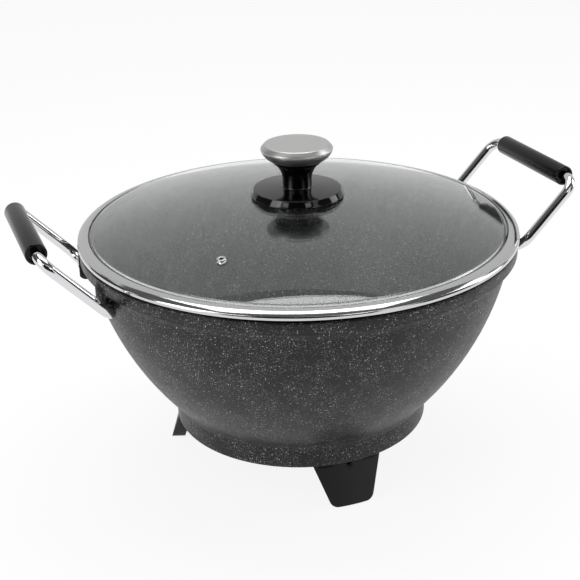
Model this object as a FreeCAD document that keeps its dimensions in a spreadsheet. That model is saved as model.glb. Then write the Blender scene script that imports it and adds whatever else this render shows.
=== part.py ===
import FreeCAD, Part
import math
import os
import re
import Sketcher

# Electric wok with a lift-off glass lid, wire handles and three feet.
# Millimetres, +Z up. The origin is on the floor under the middle of the bowl.
# +X runs through the right handle and -Y points to the front foot.

SIZES = {
    # Bowl and skirt
    "rim_radius": 179.0,
    "rim_top": 196.5,
    "rim_height": 9.0,
    "rim_wall": 3.0,
    "rim_step": 5.6,
    "rim_slope": 3.0,
    "rim_round": 1.1,
    "ledge_drop": 6.2,
    "bowl_arc": 251.0,
    "bowl_arc_rise": 39.5,
    "bowl_wall": 4.0,
    "floor_top": 58.0,
    "floor_thickness": 6.0,
    "floor_blend": 80.0,
    "skirt_inset": 71.4,
    "skirt_wall": 3.6,
    "skirt_bottom": 35.3,
    "skirt_fillet": 8.0,
    "skirt_fillet_turn": 41.0,
    # Lugs for the handles
    "lug_inner": 31.0,
    "lug_width": 12.4,
    "lug_boss": 7.0,
    "lug_proud": 1.2,
    # Handles
    "bar_radius": 4.25,
    "bar_corner": 13.0,
    "pin_radius": 2.5,
    "pin_inset": 7.5,
    "pin_drop": 10.5,
    "handle_angle": 46.5,
    "handle_reach": 71.8,
    "handle_half_span": 65.5,
    "grip_radius": 8.25,
    "grip_length": 98.6,
    "grip_recess": 3.0,
    "grip_recess_radius": 6.4,
    "grip_round": 1.4,
    "running_gap": 0.1,
    "set_screw_radius": 1.6,
    "set_screw_drive": 0.9,
    "set_screw_sunk": 0.5,
    # Lid
    "dome_radius": 591.0,
    "glass_rise": 6.555,
    "glass_inset": 6.0,
    "glass_thickness": 4.0,
    "ring_overhang": 1.0,
    "ring_sheet": 0.9,
    "ring_lip": 3.0,
    "ring_nose_rise": 2.5,
    "ring_nose_height": 2.8,
    "ring_leg": 1.1,
    "ring_round": 4.0,
    "lid_gap": 0.2,
    "vent_angle": 221.7,
    "vent_offset": 123.0,
    "vent_hole": 1.6,
    "vent_flange": 3.6,
    "vent_barrel": 2.6,
    "vent_sheet": 0.8,
    "vent_seat": 0.05,
    # Knob
    "knob_hole": 3.2,
    "knob_wall": 2.6,
    "knob_disc_round": 1.5,
    "knob_disc_radius": 38.0,
    "knob_disc_height": 6.0,
    "knob_waist": 12.0,
    "knob_waist_curve": 3.0,
    "knob_flare_height": 13.0,
    "knob_flare_curve": 18.0,
    "knob_stem_top": 19.5,
    "knob_stem_height": 27.0,
    "cap_radius": 29.2,
    "cap_bottom_radius": 22.0,
    "cap_rise": 8.0,
    "cap_height": 12.8,
    "cap_top_radius": 26.0,
    "cap_sheet": 1.2,
    "cap_gap": 2.6,
    "cap_curve": 14.0,
    "cap_dish": 0.5,
    "knob_pad_height": 0.8,
    "knob_pad_radius": 12.0,
    "knob_bolt": 2.45,
    "knob_bolt_head": 2.6,
    "knob_insert_radius": 4.0,
    "knob_insert_length": 14.0,
    "washer_height": 1.2,
    "washer_radius": 11.0,
    "gasket_height": 0.8,
    # Heating parts under the floor
    "element_inset": 18.0,
    "sheath_radius": 3.7,
    "element_gap": 0.1,
    "pin_spacing": 26.0,
    "sheath_inside": 3.0,
    "terminal_radius": 2.0,
    "terminal_inset": 2.0,
    "element_bend": 10.0,
    "insulator_radius": 5.0,
    "insulator_length": 6.0,
    "sleeve_bore": 2.9,
    "sleeve_start": 16.0,
    "clamp_margin": 8.0,
    "clamp_width": 36.0,
    "clamp_sheet": 1.2,
    "clamp_screw_inset": 16.0,
    "screw_radius": 2.0,
    "screw_head_radius": 3.8,
    "screw_head_height": 1.3,
    "boss_radius": 5.5,
    # Base
    "base_screw_inset": 27.6,
    "base_screw_length": 17.0,
    "base_head_height": 2.4,
    "shield_inset": 9.6,
    "shield_sheet": 0.8,
    "shield_rise": 4.7,
    "plate_rise": 1.0,
    "plate_thickness": 2.2,
    "plate_gap": 0.5,
    "slot_length": 26.0,
    "slot_width": 4.0,
    "slot_count": 12,
    # Inlet
    "inlet_width": 44.0,
    "inlet_height": 14.0,
    "inlet_wall": 1.8,
    "inlet_gap": 0.4,
    "inlet_depth": 14.0,
    "inlet_flange": 3.0,
    "inlet_inset": 2.6,
    # Feet
    "foot_inset": 1.7,
    "foot_top_depth": 11.9,
    "foot_top_turn": 16.0,
    "foot_splay": 10.1,
    "foot_bottom_depth": 11.5,
    "foot_bottom_turn": 8.6,
    "foot_wall": 3.0,
    "foot_corner": 8.0,
    "foot_notch": 3.0,
    "foot_flange": 3.0,
    "foot_flange_reach": 9.0,
    "pad_depth": 2.0,
    "pad_margin": 2.2,
    "pad_proud": 0.6,
}

# Sizes that follow from others, so that the pieces stay together when one of those changes.
DERIVED = {
    "rim_bottom": "rim_top - rim_height",
    "skirt_radius": "rim_radius - skirt_inset",
    "pin_axis_out": "rim_radius - pin_inset",
    "pin_axis_up": "rim_bottom - pin_drop",
    "ring_radius": "rim_radius + ring_overhang",
    "ring_nose_bottom": "rim_top + ring_nose_rise",
    "glass_radius": "ring_radius - glass_inset",
    "dome_top": "rim_top + glass_rise + dome_radius - sqrt(dome_radius ^ 2 - glass_radius ^ 2)",
    "base_screw_circle": "skirt_radius - base_screw_inset",
    "element_radius": "base_screw_circle - element_inset",
    "clamp_radius": "element_radius + clamp_margin",
    "clamp_hole": "clamp_radius - clamp_width",
    "clamp_screw_circle": "element_radius - clamp_screw_inset",
    "slot_circle": "clamp_screw_circle",
    "shield_radius": "skirt_radius - shield_inset",
    "plate_bottom": "skirt_bottom + plate_rise",
    "shield_height": "plate_bottom + shield_rise",
    "inlet_mouth": "skirt_radius - inlet_inset",
    "inlet_back": "inlet_mouth - inlet_depth",
    "sheath_end": "inlet_back + sheath_inside",
    "terminal_end": "inlet_mouth - terminal_inset",
    "foot_top_out": "skirt_radius - foot_inset",
    "foot_top_in": "foot_top_out - foot_top_depth",
    "foot_bottom_out": "foot_top_out + foot_splay",
    "foot_bottom_in": "foot_bottom_out - foot_bottom_depth",
}

LEDGE = "(rim_top - ledge_drop)"
ARC_HEIGHT = "(rim_bottom + bowl_arc_rise)"
ARC_AXIS = "(rim_radius - rim_step - sqrt(bowl_arc ^ 2 - bowl_arc_rise ^ 2))"
INNER_ARC = "(bowl_arc - bowl_wall)"
BLEND_HEIGHT = "(floor_top + floor_blend)"
BLEND_REACH = f"({INNER_ARC} - floor_blend)"
BLEND_AXIS = f"({ARC_AXIS} + sqrt({BLEND_REACH} ^ 2 - ({ARC_HEIGHT} - {BLEND_HEIGHT}) ^ 2))"
CEILING = "(floor_top - floor_thickness)"
CAVITY = "(skirt_radius - skirt_wall)"
LUG_OUTER = "(lug_inner + lug_width)"
LUG_MIDDLE = "(0 - lug_inner - lug_width / 2)"
ELEMENT_HEIGHT = f"({CEILING} - element_gap - sheath_radius)"
CLAMP_TOP = f"({ELEMENT_HEIGHT} - sheath_radius)"
SHIELD_TOP = "(shield_height + shield_sheet)"
INLET_LOW = f"({ELEMENT_HEIGHT} - inlet_height / 2)"
INLET_HIGH = f"({ELEMENT_HEIGHT} + inlet_height / 2)"
KNOB_SEAT = "(dome_top + knob_pad_height)"
CAP_BOTTOM = "(dome_top + knob_stem_height + cap_gap)"
GASKET_BOTTOM = "(dome_top - glass_thickness - running_gap - gasket_height)"
VENT_TURN = ("vent_angle", "asin(vent_offset / dome_radius)", "0")
PAD_IN = "(foot_bottom_in + pad_margin)"
PAD_OUT = "(foot_bottom_out - pad_margin)"
PAD_TURN = "(foot_bottom_turn * 0.5)"
FOOT_ANGLES = {"front": "-90", "right": "30", "left": "150"}

doc = FreeCAD.newDocument("ElectricWok")
sheet = doc.addObject("Spreadsheet::Sheet", "Sizes")
CELLS = {**SIZES, **{name: f"={formula}" for name, formula in DERIVED.items()}}
for row, (alias, size) in enumerate(CELLS.items(), start=1):
    sheet.set(f"A{row}", alias.replace("_", " "))
    sheet.set(f"B{row}", str(size))
    sheet.setAlias(f"B{row}", alias)
    doc.recompute()

SUB_PARTS = []


def bound(formula):
    """Return a formula in which each size name points at its cell of the sheet."""
    def cell(word):
        return f"Sizes.{word.group()}" if word.group() in CELLS else word.group()
    return re.sub(r"[a-z][a-z0-9_]*", cell, str(formula))


def value(formula):
    """Return the number that a formula has with the present sizes."""
    return float(sheet.evalExpression(bound(formula)))


def bind(item, name, formula):
    """Bind one property of an object to a formula on the size sheet."""
    item.setExpression(name, bound(formula))


def place(item, at=("0", "0", "0"), turn=("0", "0", "0"), name="Placement"):
    """Bind a placement: a position, and yaw, pitch and roll in degrees."""
    position = "; ".join(str(part) for part in at)
    angles = "; ".join(str(part) for part in turn)
    bind(item, name, f"placement(vector({position}); rotation({angles}))")


def sub_part(item, label):
    """Note an object as one piece of the wok under its own label."""
    item.Label = label
    SUB_PARTS.append(item)
    return item


def new_body(name):
    """Make an empty solid body."""
    return doc.addObject("PartDesign::Body", name)


def new_sketch(body, name, plane, at=("0", "0", "0"), turn=("0", "0", "0")):
    """Put a sketch on one of the body's own origin planes, moved and turned on it."""
    sketch = body.newObject("Sketcher::SketchObject", name)
    support = [item for item in body.Origin.OriginFeatures if item.Role == plane][0]
    sketch.AttachmentSupport = [(support, "")]
    sketch.MapMode = "FlatFace"
    if at != ("0", "0", "0") or turn != ("0", "0", "0"):
        place(sketch, at, turn, "AttachmentOffset")
    return sketch


def arc_edge(start, end, radius, side):
    """Return an arc of less than a half circle between two points, and whether it runs backwards.

    side is 1 where the arc bulges to the right of the way from start to end, and -1 to the left.
    """
    chord = end - start
    half = chord.Length / 2
    rise = math.sqrt(max(radius ** 2 - half ** 2, 0.0))
    left = FreeCAD.Vector(-chord.y, chord.x, 0).normalize()
    centre = (start + end) * 0.5 + left * rise * side
    first, last = (start, end) if side > 0 else (end, start)
    angles = [math.atan2(point.y - centre.y, point.x - centre.x) for point in (first, last)]
    if angles[1] < angles[0]:
        angles[1] += 2 * math.pi
    circle = Part.Circle(centre, FreeCAD.Vector(0, 0, 1), radius)
    return Part.ArcOfCircle(circle, angles[0], angles[1]), side < 0


def bind_point(sketch, edge, end, where):
    """Hold one end of a sketch edge at a bound distance from the sketch's origin."""
    for kind, axis, formula in (("DistanceX", -2, where[0]), ("DistanceY", -1, where[1])):
        if str(formula) == "0":
            sketch.addConstraint(Sketcher.Constraint("PointOnObject", edge, end, axis))
            continue
        index = sketch.addConstraint(Sketcher.Constraint(kind, -1, 1, edge, end, value(formula)))
        bind(sketch, f"Constraints[{index}]", formula)


def draw(sketch, steps, closed=True):
    """Draw an outline of lines and arcs whose corners and radii are bound to the sheet.

    A step is (x, y), or (x, y, radius, side) where an arc leads on from that corner.
    """
    points = [FreeCAD.Vector(value(step[0]), value(step[1]), 0) for step in steps]
    ends = []
    for number, step in enumerate(steps if closed else steps[:-1]):
        start = points[number]
        end = points[(number + 1) % len(points)]
        if len(step) == 2:
            edge = sketch.addGeometry(Part.LineSegment(start, end))
            ends.append((edge, 1, 2))
            continue
        arc, backwards = arc_edge(start, end, value(step[2]), step[3])
        edge = sketch.addGeometry(arc)
        index = sketch.addConstraint(Sketcher.Constraint("Radius", edge, value(step[2])))
        bind(sketch, f"Constraints[{index}]", step[2])
        ends.append((edge, 2, 1) if backwards else (edge, 1, 2))
    for number, step in enumerate(steps):
        if not closed and number == len(steps) - 1:
            bind_point(sketch, ends[-1][0], ends[-1][2], step)
            continue
        edge, start, _ = ends[number]
        bind_point(sketch, edge, start, step)
        if closed or number > 0:
            last_edge, _, last_end = ends[number - 1]
            sketch.addConstraint(Sketcher.Constraint("Coincident", last_edge, last_end, edge, start))
    return sketch


def draw_circle(sketch, x, y, radius):
    """Draw a circle whose centre and radius are bound to the sheet."""
    centre = FreeCAD.Vector(value(x), value(y), 0)
    edge = sketch.addGeometry(Part.Circle(centre, FreeCAD.Vector(0, 0, 1), value(radius)))
    index = sketch.addConstraint(Sketcher.Constraint("Radius", edge, value(radius)))
    bind(sketch, f"Constraints[{index}]", radius)
    if str(x) == "0" and str(y) == "0":
        sketch.addConstraint(Sketcher.Constraint("Coincident", edge, 3, -1, 1))
    else:
        bind_point(sketch, edge, 3, (x, y))
    return sketch


def draw_box(sketch, half_width, low, high):
    """Draw a rectangle that is centred on the sketch's upright axis."""
    return draw(sketch, [
        (f"-({half_width})", low),
        (half_width, low),
        (half_width, high),
        (f"-({half_width})", high),
    ])


def revolve(body, name, steps, cut=False, plane="XZ_Plane", **where):
    """Turn an outline about the upright axis of its plane, as a solid or as a cut."""
    sketch = draw(new_sketch(body, name + "_outline", plane, **where), steps)
    kind = "PartDesign::Groove" if cut else "PartDesign::Revolution"
    feature = body.newObject(kind, name)
    feature.Profile = sketch
    feature.ReferenceAxis = (sketch, ["V_Axis"])
    feature.Angle = 360
    sketch.Visibility = False
    return feature


def extrude(body, name, sketch, length, cut=False, backwards=False):
    """Pad or pocket a sketch by a bound length."""
    feature = body.newObject("PartDesign::Pocket" if cut else "PartDesign::Pad", name)
    feature.Profile = sketch
    feature.Type = 0
    bind(feature, "Length", length)
    feature.Reversed = backwards
    return feature


def polar(body, name, features, count, axis="Z_Axis"):
    """Repeat features round the body's upright axis."""
    pattern = body.newObject("PartDesign::PolarPattern", name)
    pattern.Originals = features
    pattern.Axis = ([item for item in body.Origin.OriginFeatures if item.Role == axis][0], [""])
    pattern.Angle = 360
    if str(count) in SIZES:
        bind(pattern, "Occurrences", count)
    else:
        pattern.Occurrences = count
    body.Tip = pattern
    return pattern


def mirror(body, name, features, plane):
    """Mirror features in one of the body's own origin planes."""
    copy = body.newObject("PartDesign::Mirrored", name)
    copy.Originals = features
    copy.MirrorPlane = ([item for item in body.Origin.OriginFeatures if item.Role == plane][0], [""])
    body.Tip = copy
    return copy


def four_ways(body, name, features):
    """Repeat features to the front and back and to the left and right."""
    both = body.newObject("PartDesign::MultiTransform", name)
    both.Originals = features
    mirrors = []
    for role in ("XZ_Plane", "YZ_Plane"):
        copy = body.newObject("PartDesign::Mirrored", f"{name}_{role[:2].lower()}")
        copy.MirrorPlane = ([item for item in body.Origin.OriginFeatures if item.Role == role][0], [""])
        mirrors.append(copy)
    both.Transformations = mirrors
    body.Tip = both
    return both


def bowl_radius(height, wall="0"):
    """Return the formula for the radius of the bowl at a height, inside its wall where one is given."""
    return f"({ARC_AXIS} + sqrt((bowl_arc - {wall}) ^ 2 - ({ARC_HEIGHT} - ({height})) ^ 2))"


def dome_height(radius, depth="0"):
    """Return the formula for the height of the glass at a radius, a depth under its outer face."""
    return f"(dome_top - dome_radius + sqrt((dome_radius - {depth}) ^ 2 - ({radius}) ^ 2))"


# Pan: a casting turned inside and out, with the lugs and the screw bosses on it.

def make_pan():
    body = new_body("pan")
    fillet_end = "(skirt_radius + skirt_fillet * (1 - cos(skirt_fillet_turn)))"
    fillet_top = f"({ARC_HEIGHT} - sqrt(bowl_arc ^ 2 - ({fillet_end} - {ARC_AXIS}) ^ 2))"
    under_rim = "(rim_bottom - rim_slope)"
    outside = [
        ("0", "skirt_bottom"),
        ("skirt_radius - rim_round", "skirt_bottom", "rim_round", 1),
        ("skirt_radius", "skirt_bottom + rim_round"),
        ("skirt_radius", f"{fillet_top} - skirt_fillet * sin(skirt_fillet_turn)", "skirt_fillet", -1),
        (fillet_end, fillet_top, "bowl_arc", 1),
        (bowl_radius(under_rim), under_rim),
        ("rim_radius", "rim_bottom"),
        ("rim_radius", "rim_top - rim_round", "rim_round", 1),
        ("rim_radius - rim_round", "rim_top"),
        ("0", "rim_top"),
    ]
    revolve(body, "outside", outside)

    lug = new_sketch(body, "lug_outline", "XZ_Plane", at=("0", "0", "lug_inner"))
    draw(lug, [
        ("pin_axis_out - lug_boss", "pin_axis_up", "lug_boss * 1.0001", 1),
        ("pin_axis_out", "pin_axis_up - lug_boss", "lug_boss * 1.0001", 1),
        ("pin_axis_out + lug_boss", "pin_axis_up"),
        ("pin_axis_out + lug_boss", "rim_bottom + rim_slope"),
        ("pin_axis_out - lug_boss", "rim_bottom + rim_slope"),
    ])
    lug_pad = extrude(body, "lug", lug, "lug_width")
    eye = draw_circle(new_sketch(body, "lug_eye_outline", "XZ_Plane", at=("0", "0", "lug_inner - lug_boss")),
                      "pin_axis_out", "pin_axis_up", "pin_radius + running_gap")
    lug_eye = extrude(body, "lug_eye", eye, "lug_width + 2 * lug_boss", cut=True, backwards=True)
    thread = new_sketch(body, "lug_thread_outline", "XY_Plane", at=("0", "0", "pin_axis_up - 2 * lug_boss"))
    draw_circle(thread, "pin_axis_out", LUG_MIDDLE, "set_screw_radius + running_gap")
    lug_thread = extrude(body, "lug_thread", thread, "2 * lug_boss", cut=True, backwards=True)
    four_ways(body, "lugs", [lug_pad, lug_eye, lug_thread])

    lug_face = "(rim_radius + lug_proud)"
    revolve(body, "lug_faces", [
        (lug_face, "pin_axis_up - 2 * lug_boss"),
        ("rim_radius + 3 * lug_boss", "pin_axis_up - 2 * lug_boss"),
        ("rim_radius + 3 * lug_boss", "rim_top - rim_round"),
        (lug_face, "rim_top - rim_round"),
    ], cut=True)

    ledge_out = "(rim_radius - rim_wall)"
    revolve(body, "inside", [
        ("0", "floor_top"),
        (BLEND_AXIS, "floor_top", "floor_blend", 1),
        (f"{ARC_AXIS} + {INNER_ARC} * ({BLEND_AXIS} - {ARC_AXIS}) / {BLEND_REACH}",
         f"{ARC_HEIGHT} - {INNER_ARC} * ({ARC_HEIGHT} - {BLEND_HEIGHT}) / {BLEND_REACH}", INNER_ARC, 1),
        (bowl_radius(LEDGE, "bowl_wall"), LEDGE),
        (ledge_out, LEDGE),
        (ledge_out, "rim_top - rim_round", "rim_round", -1),
        (f"{ledge_out} + rim_round", "rim_top"),
        (f"{ledge_out} + rim_round", "rim_top + rim_round"),
        ("0", "rim_top + rim_round"),
    ], cut=True)

    outer_blend = "(floor_blend + floor_thickness)"
    arc_end = f"{BLEND_HEIGHT} - sqrt({outer_blend} ^ 2 - ({CAVITY} - {BLEND_AXIS}) ^ 2)"
    revolve(body, "cavity", [
        ("0", "skirt_bottom - 1"),
        (CAVITY, "skirt_bottom - 1"),
        (CAVITY, arc_end, outer_blend, -1),
        (BLEND_AXIS, CEILING),
        ("0", CEILING),
    ], cut=True)

    for name, circle, bottom in (
        ("base", "base_screw_circle", SHIELD_TOP),
        ("clamp", "clamp_screw_circle", CLAMP_TOP),
    ):
        outline = new_sketch(body, f"{name}_boss_outline", "XY_Plane", at=("0", "0", bottom))
        draw_circle(outline, "0", f"-{circle}", "boss_radius")
        boss = extrude(body, f"{name}_boss", outline, f"floor_top - floor_thickness / 3 - {bottom}")
        polar(body, f"{name}_bosses", [boss], 3)
        hole = new_sketch(body, f"{name}_thread_outline", "XY_Plane", at=("0", "0", bottom))
        draw_circle(hole, "0", f"-{circle}", "screw_radius + running_gap")
        thread = extrude(body, f"{name}_thread", hole, f"{CEILING} - {bottom}", cut=True, backwards=True)
        polar(body, f"{name}_threads", [thread], 3)

    outside_skirt = ("0", "0", "-(skirt_radius + skirt_fillet)")
    mouth = new_sketch(body, "inlet_opening_outline", "XZ_Plane", at=outside_skirt)
    draw_box(mouth, "inlet_width / 2 + inlet_gap", f"{INLET_LOW} - inlet_gap", f"{INLET_HIGH} + inlet_gap")
    extrude(body, "inlet_opening", mouth, "skirt_fillet + 2 * skirt_wall", cut=True, backwards=True)
    return sub_part(body, "pan")


# Lid: the glass, its ring and seal, the steam vent and the knob's parts.

def make_lid_glass():
    body = new_body("lid_glass")
    revolve(body, "dome", [
        ("knob_hole", dome_height("knob_hole", "glass_thickness"), "dome_radius - glass_thickness", -1),
        ("glass_radius", dome_height("glass_radius", "glass_thickness")),
        ("glass_radius", dome_height("glass_radius"), "dome_radius", 1),
        ("knob_hole", dome_height("knob_hole")),
    ])
    hole = new_sketch(body, "vent_outline", "XY_Plane", at=vent_point("vent_flange"), turn=VENT_TURN)
    draw_circle(hole, "0", "0", "vent_barrel + running_gap")
    extrude(body, "vent", hole, "2 * vent_flange + glass_thickness", cut=True)
    return sub_part(body, "lid_glass")


def vent_point(above="0"):
    """Return where the steam vent's axis is, a distance out from the face of the glass."""
    centre = "(dome_top - dome_radius)"
    out = f"(vent_offset * (dome_radius + {above}) / dome_radius)"
    up = f"({centre} + sqrt(dome_radius ^ 2 - vent_offset ^ 2) * (dome_radius + {above}) / dome_radius)"
    return (f"{out} * cos(vent_angle)", f"{out} * sin(vent_angle)", up)


def make_vent_eyelet():
    body = new_body("vent_eyelet")
    under = "(glass_thickness + vent_seat)"
    revolve(body, "eyelet", [
        ("vent_hole", f"-({under} + vent_sheet)"),
        ("vent_flange", f"-({under} + vent_sheet)"),
        ("vent_flange", f"-{under}"),
        ("vent_barrel", f"-{under}"),
        ("vent_barrel", "vent_seat"),
        ("vent_flange", "vent_seat"),
        ("vent_flange - vent_sheet / 2", "vent_seat + vent_sheet"),
        ("vent_hole + vent_sheet / 2", "vent_seat + vent_sheet"),
        ("vent_hole", "vent_seat + vent_sheet / 2"),
    ])
    place(body, vent_point(), VENT_TURN)
    return sub_part(body, "vent_eyelet")


def make_lid_ring():
    body = new_body("lid_ring")
    lip_end = "(glass_radius - ring_lip)"
    lip_under = f"({dome_height(lip_end)} + running_gap)"
    nose_top = "(ring_nose_bottom + ring_nose_height)"
    flange_top = f"({dome_height('glass_radius', 'glass_thickness')} - running_gap)"
    leg_in = "(glass_radius - ring_sheet)"
    pocket = "(glass_radius + 1.5 * ring_sheet)"
    revolve(body, "rim", [
        (lip_end, lip_under),
        (lip_end, f"{lip_under} + ring_sheet"),
        ("glass_radius + 2.5 * ring_sheet", f"{lip_under} + ring_sheet / 4", "2 * ring_round", -1),
        ("ring_radius", nose_top),
        ("ring_radius", "ring_nose_bottom + ring_sheet / 2"),
        ("ring_radius - ring_sheet / 2", "ring_nose_bottom"),
        (f"{pocket} + ring_sheet", "ring_nose_bottom"),
        (f"{pocket} + ring_sheet", f"{flange_top} - ring_sheet"),
        (f"{leg_in} + ring_leg", f"{flange_top} - ring_sheet"),
        (f"{leg_in} + ring_leg", f"{LEDGE} + lid_gap"),
        (leg_in, f"{LEDGE} + lid_gap"),
        (leg_in, flange_top),
        (pocket, flange_top),
        (pocket, "ring_nose_bottom + ring_sheet"),
        ("ring_radius - ring_sheet", "ring_nose_bottom + ring_sheet"),
        ("ring_radius - ring_sheet", f"{nose_top} - ring_sheet / 2"),
        (pocket, f"{lip_under} - ring_sheet / 2"),
    ])
    return sub_part(body, "lid_ring")


def make_lid_seal():
    body = new_body("lid_seal")
    inner = "(glass_radius + running_gap)"
    outer = "(glass_radius + 1.4 * ring_sheet)"
    revolve(body, "bead", [
        (inner, dome_height("glass_radius", "glass_thickness")),
        (outer, dome_height("glass_radius", "glass_thickness")),
        (outer, dome_height("glass_radius")),
        (inner, dome_height("glass_radius")),
    ])
    return sub_part(body, "lid_seal")


def make_washer(name, bottom, height, bore, radius):
    """Make a flat ring round the knob's axis."""
    body = new_body(name)
    revolve(body, "ring", [
        (bore, bottom),
        (radius, bottom),
        (radius, f"{bottom} + {height}"),
        (bore, f"{bottom} + {height}"),
    ])
    return sub_part(body, name)


def make_knob_base():
    body = new_body("knob_base")
    edge = f"({dome_height('knob_disc_radius')} + 2 * lid_gap)"
    disc_top = f"({edge} + knob_disc_height)"
    stem_top = "(dome_top + knob_stem_height)"
    hollow = "(knob_disc_radius - knob_wall)"
    revolve(body, "turning", [
        ("knob_insert_radius + running_gap", KNOB_SEAT),
        ("knob_pad_radius", KNOB_SEAT),
        ("knob_pad_radius", f"{disc_top} - knob_wall"),
        (hollow, f"{disc_top} - knob_wall"),
        (hollow, edge),
        ("knob_disc_radius", edge),
        ("knob_disc_radius", f"{disc_top} - knob_disc_round", "knob_disc_round", 1),
        ("knob_disc_radius - knob_disc_round", disc_top),
        ("knob_waist + knob_waist_curve", f"{disc_top} + knob_wall / 2", "knob_waist_curve", -1),
        ("knob_waist", f"{disc_top} + knob_wall / 2 + knob_waist_curve"),
        ("knob_waist", f"{stem_top} - knob_flare_height", "knob_flare_curve", -1),
        ("knob_stem_top", stem_top),
        ("cap_bottom_radius - cap_sheet - lid_gap", CAP_BOTTOM),
        ("cap_bottom_radius - cap_sheet - lid_gap", f"{CAP_BOTTOM} + cap_rise"),
        ("knob_insert_radius + running_gap", f"{CAP_BOTTOM} + cap_rise"),
    ])
    return sub_part(body, "knob_base")


def make_knob_cap():
    body = new_body("knob_cap")
    top = f"({CAP_BOTTOM} + cap_height)"
    belly = f"({CAP_BOTTOM} + cap_rise)"
    spigot = "(cap_bottom_radius - cap_sheet)"
    revolve(body, "shell", [
        (spigot, CAP_BOTTOM),
        ("cap_bottom_radius", CAP_BOTTOM, "cap_curve", 1),
        ("cap_radius", belly),
        ("cap_radius", f"{belly} + cap_sheet"),
        ("cap_top_radius", top),
        ("0", f"{top} - cap_dish"),
        ("0", f"{top} - cap_dish - cap_sheet"),
        ("cap_top_radius - cap_sheet", f"{top} - cap_sheet"),
        ("cap_radius - cap_sheet", belly),
        (spigot, f"{CAP_BOTTOM} + cap_sheet"),
    ])
    return sub_part(body, "knob_cap")


def make_knob_insert():
    body = new_body("knob_insert")
    revolve(body, "bush", [
        ("knob_bolt + running_gap", KNOB_SEAT),
        ("knob_insert_radius", KNOB_SEAT),
        ("knob_insert_radius", f"{KNOB_SEAT} + knob_insert_length"),
        ("knob_bolt + running_gap", f"{KNOB_SEAT} + knob_insert_length"),
    ])
    return sub_part(body, "knob_insert")


def make_knob_screw():
    body = new_body("knob_screw")
    head_top = f"({GASKET_BOTTOM} - washer_height)"
    revolve(body, "bolt", [
        ("0", f"{head_top} - knob_bolt_head"),
        ("washer_radius / 2 - knob_bolt_head / 3", f"{head_top} - knob_bolt_head"),
        ("washer_radius / 2", f"{head_top} - knob_bolt_head / 2"),
        ("washer_radius / 2", head_top),
        ("knob_bolt", head_top),
        ("knob_bolt", f"{KNOB_SEAT} + knob_insert_length - knob_bolt / 2"),
        ("knob_bolt / 2", f"{KNOB_SEAT} + knob_insert_length"),
        ("0", f"{KNOB_SEAT} + knob_insert_length"),
    ])
    return sub_part(body, "knob_screw")


# Handles: one bent bar each, with pins through the lugs, and a tube that turns on it.

def make_handle_bar(side, turn):
    """Make the bar of one side in its own flat plane, x along the legs and y along the grip."""
    body = new_body(f"{side}_handle_wire")
    start = f"({LUG_OUTER} + running_gap)"
    bend = "handle_half_span - bar_corner"
    path = new_sketch(body, "way", "XY_Plane")
    draw(path, [
        ("0", start),
        ("0", bend, "bar_corner", -1),
        ("bar_corner", "handle_half_span"),
        ("handle_reach - bar_corner", "handle_half_span", "bar_corner", -1),
        ("handle_reach", bend),
        ("handle_reach", f"-({bend})", "bar_corner", -1),
        ("handle_reach - bar_corner", "-handle_half_span"),
        ("bar_corner", "-handle_half_span", "bar_corner", -1),
        ("0", f"-({bend})"),
        ("0", f"-{start}"),
    ], closed=False)
    section = draw_circle(new_sketch(body, "section", "XZ_Plane", at=("0", "0", f"-{start}")),
                          "0", "0", "bar_radius")
    pipe = body.newObject("PartDesign::AdditivePipe", "bar")
    pipe.Profile = section
    pipe.Spine = path
    pin = draw_circle(new_sketch(body, "pin_outline", "XZ_Plane", at=("0", "0", f"-{start}")),
                      "0", "0", "pin_radius")
    pin_pad = extrude(body, "pin", pin, "lug_width + running_gap")
    mirror(body, "pins", [pin_pad], "XZ_Plane")
    place(body, (f"{turn} * pin_axis_out", "0", "pin_axis_up"),
          ("0" if turn > 0 else "180", "-handle_angle", "0"))
    return sub_part(body, f"{side}_handle_wire")


def make_grip(side, turn):
    """Make the tube of one side, turned about its own axis and laid along the bar."""
    body = new_body(f"{side}_grip")
    half = "(grip_length / 2)"
    bore = "(bar_radius + running_gap)"
    revolve(body, "tube", [
        (bore, f"-({half} - grip_recess)"),
        ("grip_recess_radius", f"-({half} - grip_recess)"),
        ("grip_recess_radius", f"-{half}"),
        ("grip_radius - grip_round", f"-{half}", "grip_round", 1),
        ("grip_radius", f"-({half} - grip_round)"),
        ("grip_radius", f"{half} - grip_round", "grip_round", 1),
        ("grip_radius - grip_round", half),
        ("grip_recess_radius", half),
        ("grip_recess_radius", f"{half} - grip_recess"),
        (bore, f"{half} - grip_recess"),
    ])
    place(body, (f"{turn} * (pin_axis_out + handle_reach * cos(handle_angle))", "0",
                 "pin_axis_up + handle_reach * sin(handle_angle)"), ("0", "0", "-90"))
    return sub_part(body, f"{side}_grip")


def make_handle_screws():
    """Make the set screws that come up through the lugs against the bars' pins."""
    body = new_body("handle_screws")
    low = "(pin_axis_up - lug_boss + set_screw_sunk)"
    high = "(pin_axis_up - pin_radius - running_gap)"
    outline = draw_circle(new_sketch(body, "screw_outline", "XY_Plane", at=("0", "0", low)),
                          "pin_axis_out", LUG_MIDDLE, "set_screw_radius")
    screw = extrude(body, "screw", outline, f"{high} - {low}")
    socket = new_sketch(body, "socket_outline", "XY_Plane", at=("0", "0", f"{low} - set_screw_radius"))
    draw(socket, [
        (f"pin_axis_out + set_screw_drive * cos({turn})", f"{LUG_MIDDLE} + set_screw_drive * sin({turn})")
        for turn in range(0, 360, 60)
    ])
    drive = extrude(body, "drive", socket, "2 * set_screw_radius", cut=True, backwards=True)
    four_ways(body, "four_screws", [screw, drive])
    return sub_part(body, "handle_screws")


# Heating parts: the sheathed element against the floor, its clamp, and the probe's sleeve.

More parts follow.
